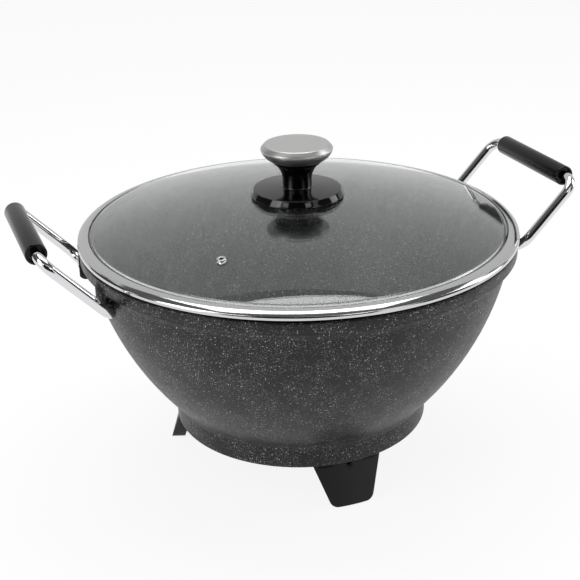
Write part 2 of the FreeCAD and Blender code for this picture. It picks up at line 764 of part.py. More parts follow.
def make_element():
    body = new_body("heating_element")
    leg = "(pin_spacing / 2)"
    ring = "element_radius"
    bend_x = f"({leg} + element_bend)"
    bend_y = f"sqrt(({ring} + element_bend) ^ 2 - {bend_x} ^ 2)"
    on_ring_x = f"({bend_x} * {ring} / ({ring} + element_bend))"
    on_ring_y = f"({bend_y} * {ring} / ({ring} + element_bend))"
    path = new_sketch(body, "way", "XY_Plane", at=("0", "0", ELEMENT_HEIGHT))
    draw(path, [
        (leg, "sheath_end"),
        (leg, bend_y, "element_bend", 1),
        (on_ring_x, on_ring_y, ring, -1),
        (ring, "0", ring, -1),
        ("0", f"-{ring}", ring, -1),
        (f"-{ring}", "0", ring, -1),
        (f"-{on_ring_x}", on_ring_y, "element_bend", 1),
        (f"-{leg}", bend_y),
        (f"-{leg}", "sheath_end"),
    ], closed=False)
    section = draw_circle(new_sketch(body, "section", "XZ_Plane", at=("0", "0", "-sheath_end")),
                          leg, ELEMENT_HEIGHT, "sheath_radius")
    pipe = body.newObject("PartDesign::AdditivePipe", "sheath")
    pipe.Profile = section
    pipe.Spine = path
    return sub_part(body, "heating_element")


def make_rods(name, start, end, radius, bore=None):
    """Make the two equal rods or bushes on the element's cold ends, along y."""
    body = new_body(name)
    outline = new_sketch(body, "rod_outline", "XZ_Plane", at=("0", "0", f"-({start})"))
    draw_circle(outline, "pin_spacing / 2", ELEMENT_HEIGHT, radius)
    if bore:
        draw_circle(outline, "pin_spacing / 2", ELEMENT_HEIGHT, bore)
    rod = extrude(body, "rod", outline, f"{end} - ({start})", backwards=True)
    mirror(body, "rods", [rod], "YZ_Plane")
    return sub_part(body, name)


def make_probe_sleeve():
    body = new_body("probe_sleeve")
    outline = new_sketch(body, "tube_outline", "XZ_Plane", at=("0", "0", "-sleeve_start"))
    draw_circle(outline, "0", ELEMENT_HEIGHT, "sheath_radius")
    extrude(body, "tube", outline, "terminal_end - sleeve_start", backwards=True)
    bore = new_sketch(body, "bore_outline", "XZ_Plane", at=("0", "0", "-(sleeve_start + sheath_radius)"))
    draw_circle(bore, "0", ELEMENT_HEIGHT, "sleeve_bore")
    extrude(body, "bore", bore, "terminal_end", cut=True)
    return sub_part(body, "probe_sleeve")


def make_element_clamp():
    body = new_body("element_clamp")
    outline = new_sketch(body, "plate_outline", "XY_Plane", at=("0", "0", f"{CLAMP_TOP} - clamp_sheet"))
    draw_circle(outline, "0", "0", "clamp_radius")
    draw_circle(outline, "0", "0", "clamp_hole")
    extrude(body, "plate", outline, "clamp_sheet")
    hole = new_sketch(body, "hole_outline", "XY_Plane", at=("0", "0", f"{CLAMP_TOP} - 2 * clamp_sheet"))
    draw_circle(hole, "0", "-clamp_screw_circle", "screw_radius + 2 * running_gap")
    cut = extrude(body, "hole", hole, "3 * clamp_sheet", cut=True, backwards=True)
    polar(body, "holes", [cut], 3)
    return sub_part(body, "element_clamp")


def make_screws(name, circle, seat, head_height, length):
    """Make three screws on a circle, heads down, with a slot in each head."""
    body = new_body(name)
    head = new_sketch(body, "head_outline", "XY_Plane", at=("0", "0", f"{seat} - {head_height}"))
    draw_circle(head, "0", f"-{circle}", "screw_head_radius")
    head_pad = extrude(body, "head", head, head_height)
    shank = new_sketch(body, "shank_outline", "XY_Plane", at=("0", "0", seat))
    draw_circle(shank, "0", f"-{circle}", "screw_radius")
    shank_pad = extrude(body, "shank", shank, length)
    slot = new_sketch(body, "drive_outline", "XY_Plane", at=("0", "0", f"{seat} - 2 * {head_height}"))
    draw(slot, [
        ("-screw_head_radius / 2", f"-{circle} - screw_head_radius / 8"),
        ("screw_head_radius / 2", f"-{circle} - screw_head_radius / 8"),
        ("screw_head_radius / 2", f"-{circle} + screw_head_radius / 8"),
        ("-screw_head_radius / 2", f"-{circle} + screw_head_radius / 8"),
    ])
    drive = extrude(body, "drive", slot, f"1.5 * {head_height}", cut=True, backwards=True)
    polar(body, "three", [head_pad, shank_pad, drive], 3)
    return sub_part(body, name)


def make_heat_shield():
    body = new_body("heat_shield")
    outline = new_sketch(body, "disc_outline", "XY_Plane", at=("0", "0", "shield_height"))
    draw_circle(outline, "0", "0", "shield_radius")
    extrude(body, "disc", outline, "shield_sheet")
    hole = new_sketch(body, "hole_outline", "XY_Plane", at=("0", "0", "shield_height - shield_sheet"))
    draw_circle(hole, "0", "-base_screw_circle", "screw_radius + 2 * running_gap")
    cut = extrude(body, "hole", hole, "3 * shield_sheet", cut=True, backwards=True)
    polar(body, "holes", [cut], 3)
    notch = new_sketch(body, "notch_outline", "XY_Plane", at=("0", "0", "shield_height - shield_sheet"))
    side = "inlet_width / 2 + inlet_flange + inlet_gap"
    draw(notch, [
        (f"-({side})", "inlet_back - inlet_gap"),
        (side, "inlet_back - inlet_gap"),
        (side, "shield_radius + inlet_gap"),
        (f"-({side})", "shield_radius + inlet_gap"),
    ])
    extrude(body, "notch", notch, "3 * shield_sheet", cut=True, backwards=True)
    return sub_part(body, "heat_shield")


def make_base_plate():
    body = new_body("base_plate")
    top = "(plate_bottom + plate_thickness)"
    outline = new_sketch(body, "disc_outline", "XY_Plane", at=("0", "0", "plate_bottom"))
    draw_circle(outline, "0", "0", f"{CAVITY} - plate_gap")
    extrude(body, "disc", outline, "plate_thickness")
    post = new_sketch(body, "post_outline", "XY_Plane", at=("0", "0", top))
    draw_circle(post, "0", "-base_screw_circle", "boss_radius")
    post_pad = extrude(body, "post", post, f"shield_height - {top}")
    polar(body, "posts", [post_pad], 3)
    hole = new_sketch(body, "hole_outline", "XY_Plane", at=("0", "0", "plate_bottom - plate_thickness"))
    draw_circle(hole, "0", "-base_screw_circle", "screw_radius + 2 * running_gap")
    cut = extrude(body, "hole", hole, "shield_height", cut=True, backwards=True)
    polar(body, "holes", [cut], 3)
    slot = new_sketch(body, "slot_outline", "XY_Plane", at=("0", "0", "plate_bottom - plate_thickness"))
    near = "slot_circle - slot_length / 2"
    far = "slot_circle + slot_length / 2"
    draw(slot, [
        (near, "-slot_width / 2"),
        (far, "-slot_width / 2"),
        (far, "slot_width / 2"),
        (near, "slot_width / 2"),
    ])
    vent = extrude(body, "slot", slot, "3 * plate_thickness", cut=True, backwards=True)
    polar(body, "slots", [vent], "slot_count")
    return sub_part(body, "base_plate")


def make_inlet_shroud():
    body = new_body("inlet_shroud")
    housing = new_sketch(body, "housing_outline", "XZ_Plane", at=("0", "0", "-inlet_back"))
    draw_box(housing, "inlet_width / 2", INLET_LOW, INLET_HIGH)
    extrude(body, "housing", housing, "inlet_mouth - inlet_back", backwards=True)
    flange_reach = "(inlet_width / 2 + inlet_flange)"
    flange_at = f"(sqrt({CAVITY} ^ 2 - {flange_reach} ^ 2) - inlet_flange - inlet_gap)"
    flange = new_sketch(body, "flange_outline", "XZ_Plane", at=("0", "0", f"-{flange_at}"))
    draw_box(flange, flange_reach, "plate_bottom + plate_thickness + running_gap", INLET_HIGH)
    extrude(body, "flange", flange, "inlet_flange", backwards=True)
    room = new_sketch(body, "socket_outline", "XZ_Plane", at=("0", "0", "-(inlet_back + inlet_wall)"))
    draw_box(room, "inlet_width / 2 - inlet_wall", f"{INLET_LOW} + inlet_wall", f"{INLET_HIGH} - inlet_wall")
    extrude(body, "socket", room, "inlet_mouth - inlet_back", cut=True)
    holes = new_sketch(body, "back_holes_outline", "XZ_Plane", at=("0", "0", "-(inlet_back - inlet_wall)"))
    draw_circle(holes, "0", ELEMENT_HEIGHT, "sheath_radius + running_gap")
    draw_circle(holes, "pin_spacing / 2", ELEMENT_HEIGHT, "insulator_radius + running_gap")
    draw_circle(holes, "-pin_spacing / 2", ELEMENT_HEIGHT, "insulator_radius + running_gap")
    extrude(body, "back_holes", holes, "3 * inlet_wall", cut=True)
    return sub_part(body, "inlet_shroud")


# Feet: tapered, splayed shells that open inwards, each with a flange under the base plate and a pad.

def foot_size(name, height):
    """Return the formula for a size of the foot at a height, between its bottom and its top."""
    return f"(foot_bottom_{name} + (foot_top_{name} - foot_bottom_{name}) * ({height}) / skirt_bottom)"


def draw_sector(sketch, near, far, turn):
    """Draw a ring segment about the sketch's origin, its middle on the sketch's x axis."""
    draw(sketch, [
        (f"{far} * cos({turn})", f"-{far} * sin({turn})", far, 1),
        (f"{far} * cos({turn})", f"{far} * sin({turn})"),
        (f"{near} * cos({turn})", f"{near} * sin({turn})", near, -1),
        (f"{near} * cos({turn})", f"-{near} * sin({turn})"),
    ])
    return sketch


def loft(body, name, sections, cut=False):
    """Run a solid or a cut between ring segments given as height, near, far and turn."""
    sketches = []
    for number, (height, near, far, turn) in enumerate(sections):
        sketch = new_sketch(body, f"{name}_section_{number}", "XY_Plane", at=("0", "0", height))
        sketches.append(draw_sector(sketch, near, far, turn))
    feature = body.newObject("PartDesign::SubtractiveLoft" if cut else "PartDesign::AdditiveLoft", name)
    feature.Profile = sketches[0]
    feature.Sections = sketches[1:]
    feature.Ruled = True
    return feature


def make_foot(where, angle):
    """Make one foot pointing along x, then turn it to its place round the skirt."""
    body = new_body(f"foot_{where}")
    shell = [(height, foot_size("in", height), foot_size("out", height), foot_size("turn", height))
             for height in ("pad_proud", "skirt_bottom")]
    loft(body, "shell", shell)
    low = "(pad_proud + foot_wall + pad_depth)"
    high = "(skirt_bottom - foot_wall)"
    wall_turn = "foot_wall / foot_bottom_out * 180 / pi"
    hollow = [
        (height, f"({foot_size('in', height)} - 2 * foot_wall)", f"({foot_size('out', height)} - foot_wall)",
         f"({foot_size('turn', height)} - {wall_turn})")
        for height in (high, low)
    ]
    open_shell = loft(body, "hollow", hollow, cut=True)

    doc.recompute()
    bottom = value("pad_proud")
    edges = [f"Edge{number}" for number, edge in enumerate(open_shell.Shape.Edges, start=1)
             if edge.Curve.TypeId == "Part::GeomLine"
             and all(abs(corner.Point.z - bottom) < 1e-6 for corner in edge.Vertexes)]
    fillet = body.newObject("PartDesign::Fillet", "corners")
    fillet.Base = (open_shell, edges)
    bind(fillet, "Radius", "foot_corner")

    flange = new_sketch(body, "flange_outline", "XY_Plane", at=("0", "0", "plate_bottom - foot_flange"))
    draw_sector(flange, "(base_screw_circle - foot_flange_reach)", "(foot_top_in + foot_wall)",
                "foot_top_turn * 0.6")
    extrude(body, "flange", flange, "foot_flange")
    hole = new_sketch(body, "hole_outline", "XY_Plane", at=("0", "0", "plate_bottom - 2 * foot_flange"))
    draw_circle(hole, "base_screw_circle", "0", "screw_radius + 2 * running_gap")
    extrude(body, "hole", hole, "3 * foot_flange", cut=True, backwards=True)
    notch = new_sketch(body, "notch_outline", "XY_Plane", at=("0", "0", "skirt_bottom + foot_notch"))
    draw(notch, [
        ("foot_top_out - foot_notch / 2", "-foot_notch / 2"),
        ("foot_top_out + foot_notch", "-foot_notch / 2"),
        ("foot_top_out + foot_notch", "foot_notch / 2"),
        ("foot_top_out - foot_notch / 2", "foot_notch / 2"),
    ])
    extrude(body, "notch", notch, "2 * foot_notch", cut=True)
    recess = new_sketch(body, "pad_outline", "XY_Plane")
    draw_sector(recess, PAD_IN, PAD_OUT, PAD_TURN)
    extrude(body, "pad_recess", recess, "pad_proud + pad_depth + running_gap", cut=True, backwards=True)
    place(body, turn=(angle, "0", "0"))
    return sub_part(body, f"foot_{where}")


def make_pad(where, angle):
    """Make the rubber pad under one foot."""
    body = new_body(f"pad_{where}")
    outline = new_sketch(body, "pad_outline", "XY_Plane")
    draw_sector(outline, f"({PAD_IN} + running_gap)", f"({PAD_OUT} - running_gap)",
                f"({PAD_TURN} - running_gap / foot_bottom_in * 180 / pi)")
    extrude(body, "pad", outline, "pad_proud + pad_depth")
    place(body, turn=(angle, "0", "0"))
    return sub_part(body, f"pad_{where}")


make_pan()
make_lid_glass()
make_lid_ring()
make_lid_seal()
make_vent_eyelet()
make_knob_base()
make_knob_cap()
make_knob_insert()
make_knob_screw()
make_washer("knob_pad", "(dome_top + running_gap / 2)", "(knob_pad_height - running_gap)", "knob_hole",
            "knob_pad_radius")
make_washer("knob_gasket", GASKET_BOTTOM, "gasket_height", "knob_hole", "(washer_radius - 1)")
make_washer("knob_washer", f"({GASKET_BOTTOM} - washer_height)", "washer_height", "(knob_bolt + running_gap)",
            "washer_radius")
for side, turn in (("right", 1), ("left", -1)):
    make_handle_bar(side, turn)
    make_grip(side, turn)
make_handle_screws()
make_element()
make_rods("terminal_pins", "sheath_end", "terminal_end", "terminal_radius")
make_rods("element_insulators", "sheath_end - insulator_length", "sheath_end", "insulator_radius",
          "sheath_radius + running_gap")
make_probe_sleeve()
make_element_clamp()
make_screws("clamp_screws", "clamp_screw_circle", f"({CLAMP_TOP} - clamp_sheet)", "screw_head_height",
            f"{CEILING} - {CLAMP_TOP}")
make_heat_shield()
make_base_plate()
make_screws("base_screws", "base_screw_circle", "(plate_bottom - foot_flange)", "base_head_height",
            "base_screw_length")
make_inlet_shroud()
for where, angle in FOOT_ANGLES.items():
    make_foot(where, angle)
    make_pad(where, angle)

doc.recompute()
for item in doc.Objects:
    if "Invalid" in item.State or "Error" in item.State:
        raise RuntimeError(f"{item.Name} {item.Label}: {item.getStatusString()}")
os.makedirs("parts", exist_ok=True)
for item in SUB_PARTS:
    if item.Shape.isNull() or not item.Shape.isValid():
        raise RuntimeError(f"{item.Label} has no valid shape")
for item in SUB_PARTS:
    item.Shape.exportStep(f"parts/{item.Label}.step")
    print(f"{item.Label}: {len(item.Shape.Solids)} solids, {item.Shape.Volume:.0f} cubic millimetres")
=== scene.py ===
import logging
import math
from dataclasses import dataclass
from enum import Enum
from typing import Optional, Sequence

import bmesh
import bpy
from mathutils import Matrix, Vector


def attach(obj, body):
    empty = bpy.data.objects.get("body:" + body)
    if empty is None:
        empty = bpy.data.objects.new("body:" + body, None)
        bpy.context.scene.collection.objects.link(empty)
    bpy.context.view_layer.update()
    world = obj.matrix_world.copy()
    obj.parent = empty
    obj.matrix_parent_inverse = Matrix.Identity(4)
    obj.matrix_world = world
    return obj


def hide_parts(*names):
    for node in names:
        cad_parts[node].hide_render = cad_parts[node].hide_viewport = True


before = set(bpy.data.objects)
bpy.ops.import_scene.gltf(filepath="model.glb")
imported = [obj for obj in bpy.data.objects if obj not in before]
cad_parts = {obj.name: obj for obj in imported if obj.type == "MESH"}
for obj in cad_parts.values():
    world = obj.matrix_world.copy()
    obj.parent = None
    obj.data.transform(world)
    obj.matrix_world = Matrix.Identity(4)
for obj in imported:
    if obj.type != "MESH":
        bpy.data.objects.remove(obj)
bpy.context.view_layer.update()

LOG = logging.getLogger("wok")
MM = 0.001
ROUND_STEPS = 192
CORNER_STEPS = 5

# Nearly all values of a noise texture lie between these two.
NOISE_RANGE = (0.3, 0.7)


class Side(Enum):
    """The two sides of the wok that carry a handle."""

    RIGHT = 1
    LEFT = -1


class FootPlace(Enum):
    """The three places round the skirt where a foot stands."""

    FRONT = "front"
    RIGHT = "right"
    LEFT = "left"


def linear(colour: str) -> tuple[float, float, float, float]:
    """Turn an sRGB hex value into the linear colour that a shader takes.

    Args:
        colour: Six hex digits, with or without a leading hash sign.

    Returns:
        Red, green, blue and an alpha of one.
    """
    digits = colour.lstrip("#")
    parts = []
    for place in (0, 2, 4):
        shade = int(digits[place:place + 2], 16) / 255
        parts.append(shade / 12.92 if shade <= 0.04045 else ((shade + 0.055) / 1.055) ** 2.4)
    return parts[0], parts[1], parts[2], 1.0


def per_mm(size: float) -> float:
    """Return the texture scale that gives a pattern one cell per so many millimetres."""
    return 1.0 / (size * MM)


def add_node(tree: bpy.types.NodeTree, kind: str, inputs: Optional[dict] = None,
             **settings: object) -> bpy.types.Node:
    """Add a shader node with its settings, its fixed inputs and its links.

    Args:
        tree: The node tree that takes the node.
        kind: The node's class name without its ShaderNode prefix.
        inputs: A socket's name or number, and either a value or the output to link to it.
        **settings: Properties of the node itself.

    Returns:
        The new node.
    """
    node = tree.nodes.new("ShaderNode" + kind)
    for name, setting in settings.items():
        setattr(node, name, setting)
    for socket, source in (inputs or {}).items():
        if isinstance(source, bpy.types.NodeSocket):
            tree.links.new(source, node.inputs[socket])
        else:
            node.inputs[socket].default_value = source
    return node


def ramp(tree: bpy.types.NodeTree, source: bpy.types.NodeSocket, low: float, high: float,
         start: float = 0.0, end: float = 1.0) -> bpy.types.NodeSocket:
    """Stretch a value's range from low..high to start..end, and clamp it there."""
    return add_node(tree, "MapRange", {0: source, 1: low, 2: high, 3: start, 4: end}).outputs[0]


def blend(tree: bpy.types.NodeTree, amount: bpy.types.NodeSocket, first: object,
          second: object) -> bpy.types.NodeSocket:
    """Mix two colours, each a fixed colour or an output, by an amount from 0 to 1."""
    node = add_node(tree, "Mix", {0: amount, 6: first, 7: second}, data_type="RGBA")
    return node.outputs[2]


def noise(tree: bpy.types.NodeTree, where: bpy.types.NodeSocket, size: float,
          detail: float = 2.0) -> bpy.types.NodeSocket:
    """Return soft random values whose lumps are so many millimetres wide."""
    inputs = {"Vector": where, "Scale": per_mm(size), "Detail": detail}
    return add_node(tree, "TexNoise", inputs).outputs["Fac"]


def combine(tree: bpy.types.NodeTree, operation: str, first: object, second: object) -> bpy.types.NodeSocket:
    """Return what a math operation gives for two values, each fixed or an output."""
    return add_node(tree, "Math", {0: first, 1: second}, operation=operation).outputs[0]


@dataclass(frozen=True)
class Finish:
    """A surface as the maker would name it, with its plain optical values."""

    name: str
    colour: str
    roughness: float
    metallic: float = 0.0
    coat: float = 0.0
    coat_roughness: float = 0.03
    specular: float = 0.5

    def material(self) -> bpy.types.Material:
        """Return the finish's material, and make it the first time.

        Returns:
            The Blender material, shared by every piece with this finish.
        """
        found = bpy.data.materials.get(self.name)
        if found:
            return found
        material = bpy.data.materials.new(self.name)
        material.use_nodes = True
        tree = material.node_tree
        shader = tree.nodes["Principled BSDF"]
        shader.inputs["Base Color"].default_value = linear(self.colour)
        shader.inputs["Roughness"].default_value = self.roughness
        shader.inputs["Metallic"].default_value = self.metallic
        shader.inputs["Coat Weight"].default_value = self.coat
        shader.inputs["Coat Roughness"].default_value = self.coat_roughness
        shader.inputs["Specular IOR Level"].default_value = self.specular
        where = add_node(tree, "TexCoord").outputs["Object"]
        self.detail(tree, shader, where)
        return material

    def detail(self, tree: bpy.types.NodeTree, shader: bpy.types.Node,
               where: bpy.types.NodeSocket) -> None:
        """Add what makes the surface more than one flat value; plain finishes add nothing."""

    def bump(self, tree: bpy.types.NodeTree, shader: bpy.types.Node, height: bpy.types.NodeSocket,
             depth: float, strength: float) -> None:
        """Link a height map to the shader's normal.

        Args:
            tree: The material's node tree.
            shader: The Principled shader.
            height: The output that gives the height, from 0 to 1.
            depth: The height's real depth in millimetres.
            strength: How much of it shows, from 0 to 1.
        """
        node = add_node(tree, "Bump", {"Height": height, "Distance": depth * MM, "Strength": strength})
        tree.links.new(node.outputs["Normal"], shader.inputs["Normal"])


@dataclass(frozen=True)
class Flecks:
    """Round flecks of one size in the cells of a random pattern, with shares from 0 to 1.

    Attributes:
        cell: The size of a cell in millimetres.
        share: The share of the cells that have a fleck.
        fill: How much of its cell a fleck fills.
    """

    cell: float
    share: float
    fill: float


@dataclass(frozen=True)
class StoneCoat(Finish):
    """Sprayed non-stick coat on cast aluminium: charcoal film with pale flecks spattered into it."""

    # Real dust is 0.2 to 0.5 mm wide. It is drawn coarser here, as it would be lost between the
    # pixels at the photograph's distance.
    dust: Flecks = Flecks(1.1, 0.7, 0.44)
    fine: Flecks = Flecks(1.3, 0.13, 0.34)
    wide: Flecks = Flecks(2.7, 0.05, 0.21)
    fleck_colour: str = "#d4d3cf"
    shadow_colour: str = "#0c0c0d"
    dust_strength: float = 0.2
    fleck_core: float = 0.6
    fleck_strength: tuple[float, float] = (0.55, 0.95)
    sparse: float = 0.35
    dense: float = 1.7
    cluster_mm: float = 17.0
    cluster_range: tuple[float, float] = (0.38, 0.66)
    mottle_mm: float = 5.0
    mottle_range: tuple[float, float] = (0.35, 0.65)
    sheen_drop: float = 0.05
    sheen_rise: float = 0.06
    peel_mm: float = 1.6
    peel_depth: float = 0.05
    peel_strength: float = 0.35

    def flecks(self, tree: bpy.types.NodeTree, where: bpy.types.NodeSocket,
               kind: Flecks) -> bpy.types.NodeSocket:
        """Return a mask of flecks that gather in loose clusters.

        Args:
            tree: The material's node tree.
            where: The coordinates.
            kind: The flecks' size and number.

        Returns:
            The mask, 1 on a fleck.
        """
        cells = add_node(tree, "TexVoronoi", {"Vector": where, "Scale": per_mm(kind.cell)})
        spot = ramp(tree, cells.outputs["Distance"], kind.fill, kind.fill * self.fleck_core)
        chance = add_node(tree, "SeparateColor", {0: cells.outputs["Color"]}).outputs[0]
        cluster = noise(tree, where, self.cluster_mm, 3.0)
        limit = ramp(tree, cluster, *self.cluster_range, kind.share * self.sparse,
                     kind.share * self.dense)
        return combine(tree, "MULTIPLY", spot, combine(tree, "LESS_THAN", chance, limit))

    def detail(self, tree: bpy.types.NodeTree, shader: bpy.types.Node,
               where: bpy.types.NodeSocket) -> None:
        """Scatter the flecks, mottle the film and give it the spray's soft orange peel."""
        dust = combine(tree, "MULTIPLY", self.flecks(tree, where, self.dust), self.dust_strength)
        pale = combine(tree, "MAXIMUM", self.flecks(tree, where, self.fine),
                       self.flecks(tree, where, self.wide))
        both = combine(tree, "MAXIMUM", dust, pale)
        mottle = noise(tree, where, self.mottle_mm, 5.0)
        film = blend(tree, ramp(tree, mottle, *self.mottle_range), linear(self.shadow_colour),
                     linear(self.colour))
        strength = ramp(tree, mottle, *NOISE_RANGE, *self.fleck_strength)
        amount = combine(tree, "MULTIPLY", both, strength)
        tree.links.new(blend(tree, amount, film, linear(self.fleck_colour)), shader.inputs["Base Color"])
        sheen = ramp(tree, mottle, *NOISE_RANGE, self.roughness - self.sheen_drop,
                     self.roughness + self.sheen_rise)
        tree.links.new(sheen, shader.inputs["Roughness"])
        peel = noise(tree, where, self.peel_mm)
        self.bump(tree, shader, peel, self.peel_depth, self.peel_strength)


@dataclass(frozen=True)
class MouldedPlastic(Finish):
    """Injection-moulded resin or rubber: an even colour with the mould's fine grain."""

    # A mould's grain is under 0.1 mm wide and is drawn coarser, so that it breaks the highlights.
    grain_mm: float = 0.5
    grain_depth: float = 0.03
    grain_strength: float = 0.25
    drift_mm: float = 22.0
    drift_share: float = 0.1

    def detail(self, tree: bpy.types.NodeTree, shader: bpy.types.Node,
               where: bpy.types.NodeSocket) -> None:
        """Add the grain, and let the sheen drift a little over the moulding."""
        drift = noise(tree, where, self.drift_mm)
        sheen = ramp(tree, drift, *NOISE_RANGE, self.roughness * (1 - self.drift_share),
                     self.roughness * (1 + self.drift_share))
        tree.links.new(sheen, shader.inputs["Roughness"])
        self.bump(tree, shader, noise(tree, where, self.grain_mm, 3.0), self.grain_depth, self.grain_strength)


@dataclass(frozen=True)
class Metal(Finish):
    """Bare or plated metal: a mirror broken by faint handling haze and polishing marks."""

    # Polishing marks are some 0.02 mm wide and are drawn coarser and very shallow, so that they
    # only soften the edges of what the metal mirrors.
    haze: float = 0.04
    haze_mm: float = 14.0
    mark_mm: float = 0.35
    mark_depth: float = 0.0012
    mark_strength: float = 0.3

    def detail(self, tree: bpy.types.NodeTree, shader: bpy.types.Node,
               where: bpy.types.NodeSocket) -> None:
        """Vary the gloss in wide soft patches, and add polishing marks too fine to count."""
        patches = noise(tree, where, self.haze_mm, 4.0)
        tree.links.new(ramp(tree, patches, *NOISE_RANGE, self.roughness, self.roughness + self.haze),
                       shader.inputs["Roughness"])
        self.bump(tree, shader, noise(tree, where, self.mark_mm), self.mark_depth, self.mark_strength)


@dataclass(frozen=True)
class TurnedMetal(Finish):
    """Metal brushed on a lathe: fine rings about the upright axis."""

    # The brush leaves rings under 0.1 mm apart. They are drawn coarser, to show as a silky grain.
    ring_mm: float = 0.28
    ring_depth: float = 0.01
    ring_strength: float = 0.3
    ring_range: tuple[float, float] = (0.25, 0.75)
    groove_colour: str = "#a9a9a8"
    sheen_drop: float = 0.07
    sheen_rise: float = 0.09

    def detail(self, tree: bpy.types.NodeTree, shader: bpy.types.Node,
               where: bpy.types.NodeSocket) -> None:
        """Draw the brush's rings from the distance to the axis, with uneven depth."""
        split = add_node(tree, "SeparateXYZ", {0: where})
        flat = add_node(tree, "CombineXYZ", {0: split.outputs[0], 1: split.outputs[1]}).outputs[0]
        reach = add_node(tree, "VectorMath", {0: flat}, operation="LENGTH").outputs["Value"]
        rings = add_node(tree, "TexNoise", {"W": reach, "Scale": per_mm(self.ring_mm), "Detail": 3.0},
                         noise_dimensions="1D").outputs["Fac"]
        sheen = ramp(tree, rings, *NOISE_RANGE, self.roughness - self.sheen_drop,
                     self.roughness + self.sheen_rise)
        tree.links.new(sheen, shader.inputs["Roughness"])
        tone = blend(tree, ramp(tree, rings, *self.ring_range), linear(self.groove_colour),
                     linear(self.colour))
        tree.links.new(tone, shader.inputs["Base Color"])
        self.bump(tree, shader, rings, self.ring_depth, self.ring_strength)


@dataclass(frozen=True)
class ClearGlass(Finish):
    """Toughened soda-lime glass: clear, with a trace of green and a breath of wiping haze."""

    refraction: float = 1.52
    haze: float = 0.004
    haze_mm: float = 30.0
    haze_range: tuple[float, float] = (0.3, 0.75)

    def detail(self, tree: bpy.types.NodeTree, shader: bpy.types.Node,
               where: bpy.types.NodeSocket) -> None:
        """Let light through, and leave the gloss a little uneven."""
        shader.inputs["Transmission Weight"].default_value = 1.0
        shader.inputs["IOR"].default_value = self.refraction
        wiping = noise(tree, where, self.haze_mm, 3.0)
        tree.links.new(ramp(tree, wiping, *self.haze_range, 0.0, self.haze), shader.inputs["Roughness"])


# A dark stone with a waxy sheen: the dust gives it grain, and the clusters keep it from looking printed.
STONE_COAT = StoneCoat("speckled_nonstick_coat", "#151517", 0.42, specular=0.32)
# Clear where the lid is lifted, with the studio lying over it as a grey veil where it is down.
LID_GLASS = ClearGlass("toughened_clear_glass", "#f4f8f6", 0.0)
# A bright band round the lid, softer than the chrome beside it.
POLISHED_STEEL = Metal("polished_stainless_steel", "#cfcfd0", 0.10, metallic=1.0)
# Nearly a mirror, so the bars carry hard bright and dark lines.
CHROME = Metal("bright_chrome_plate", "#dcdcde", 0.05, metallic=1.0, haze=0.03)
# A silky grey that turns with the light, unlike the mirror of the ring.
BRUSHED_STEEL = TurnedMetal("lathe_brushed_stainless_steel", "#dadad9", 0.36, metallic=1.0)
# Piano black: all that shows is what it mirrors.
GLOSS_RESIN = MouldedPlastic("polished_black_phenolic_resin", "#050505", 0.08, grain_strength=0.02)
# Satin black, paler than the gloss resin where the bright surroundings lie on it.
GRIP_RESIN = MouldedPlastic("satin_black_phenolic_resin", "#070707", 0.22, specular=0.26,
                            grain_strength=0.12)
# Duller than the grips, so that the feet sink back under the bowl.
FOOT_RESIN = MouldedPlastic("fine_grained_black_phenolic_resin", "#0a0a0a", 0.38, specular=0.3)
# A soft milky grey, without the steel's shine beside it.
SILICONE = MouldedPlastic("translucent_grey_silicone_rubber", "#8f9190", 0.55, grain_mm=1.2)
# Dead matt, with no highlight where the foot meets the table.
PAD_RUBBER = MouldedPlastic("black_foot_rubber", "#161616", 0.75, grain_mm=0.9, grain_strength=0.5)
# The dull blue grey of plated hardware.
ZINC_STEEL = Metal("zinc_plated_steel", "#a7a9ac", 0.32, metallic=1.0, haze=0.1, haze_mm=6.0)
# Darkened and uneven, as a sheath is that has been hot.
SHEATH_STEEL = Metal("drawn_steel_sheath", "#6f6d69", 0.42, metallic=1.0, haze=0.12, haze_mm=9.0)
# Two warm yellow points in the dark inlet.
BRASS = Metal("machined_brass", "#c9a353", 0.25, metallic=1.0, haze=0.1, haze_mm=4.0)
# A pale, slightly cloudy mirror for the element's light.
ALUMINIUM = Metal("rolled_aluminium_sheet", "#b8b9bb", 0.30, metallic=1.0, haze=0.1, haze_mm=20.0)
# Chalky cream against the metal round it.
CERAMIC = MouldedPlastic("fired_steatite_ceramic", "#dfd9c8", 0.6, grain_mm=0.8, grain_strength=0.4)


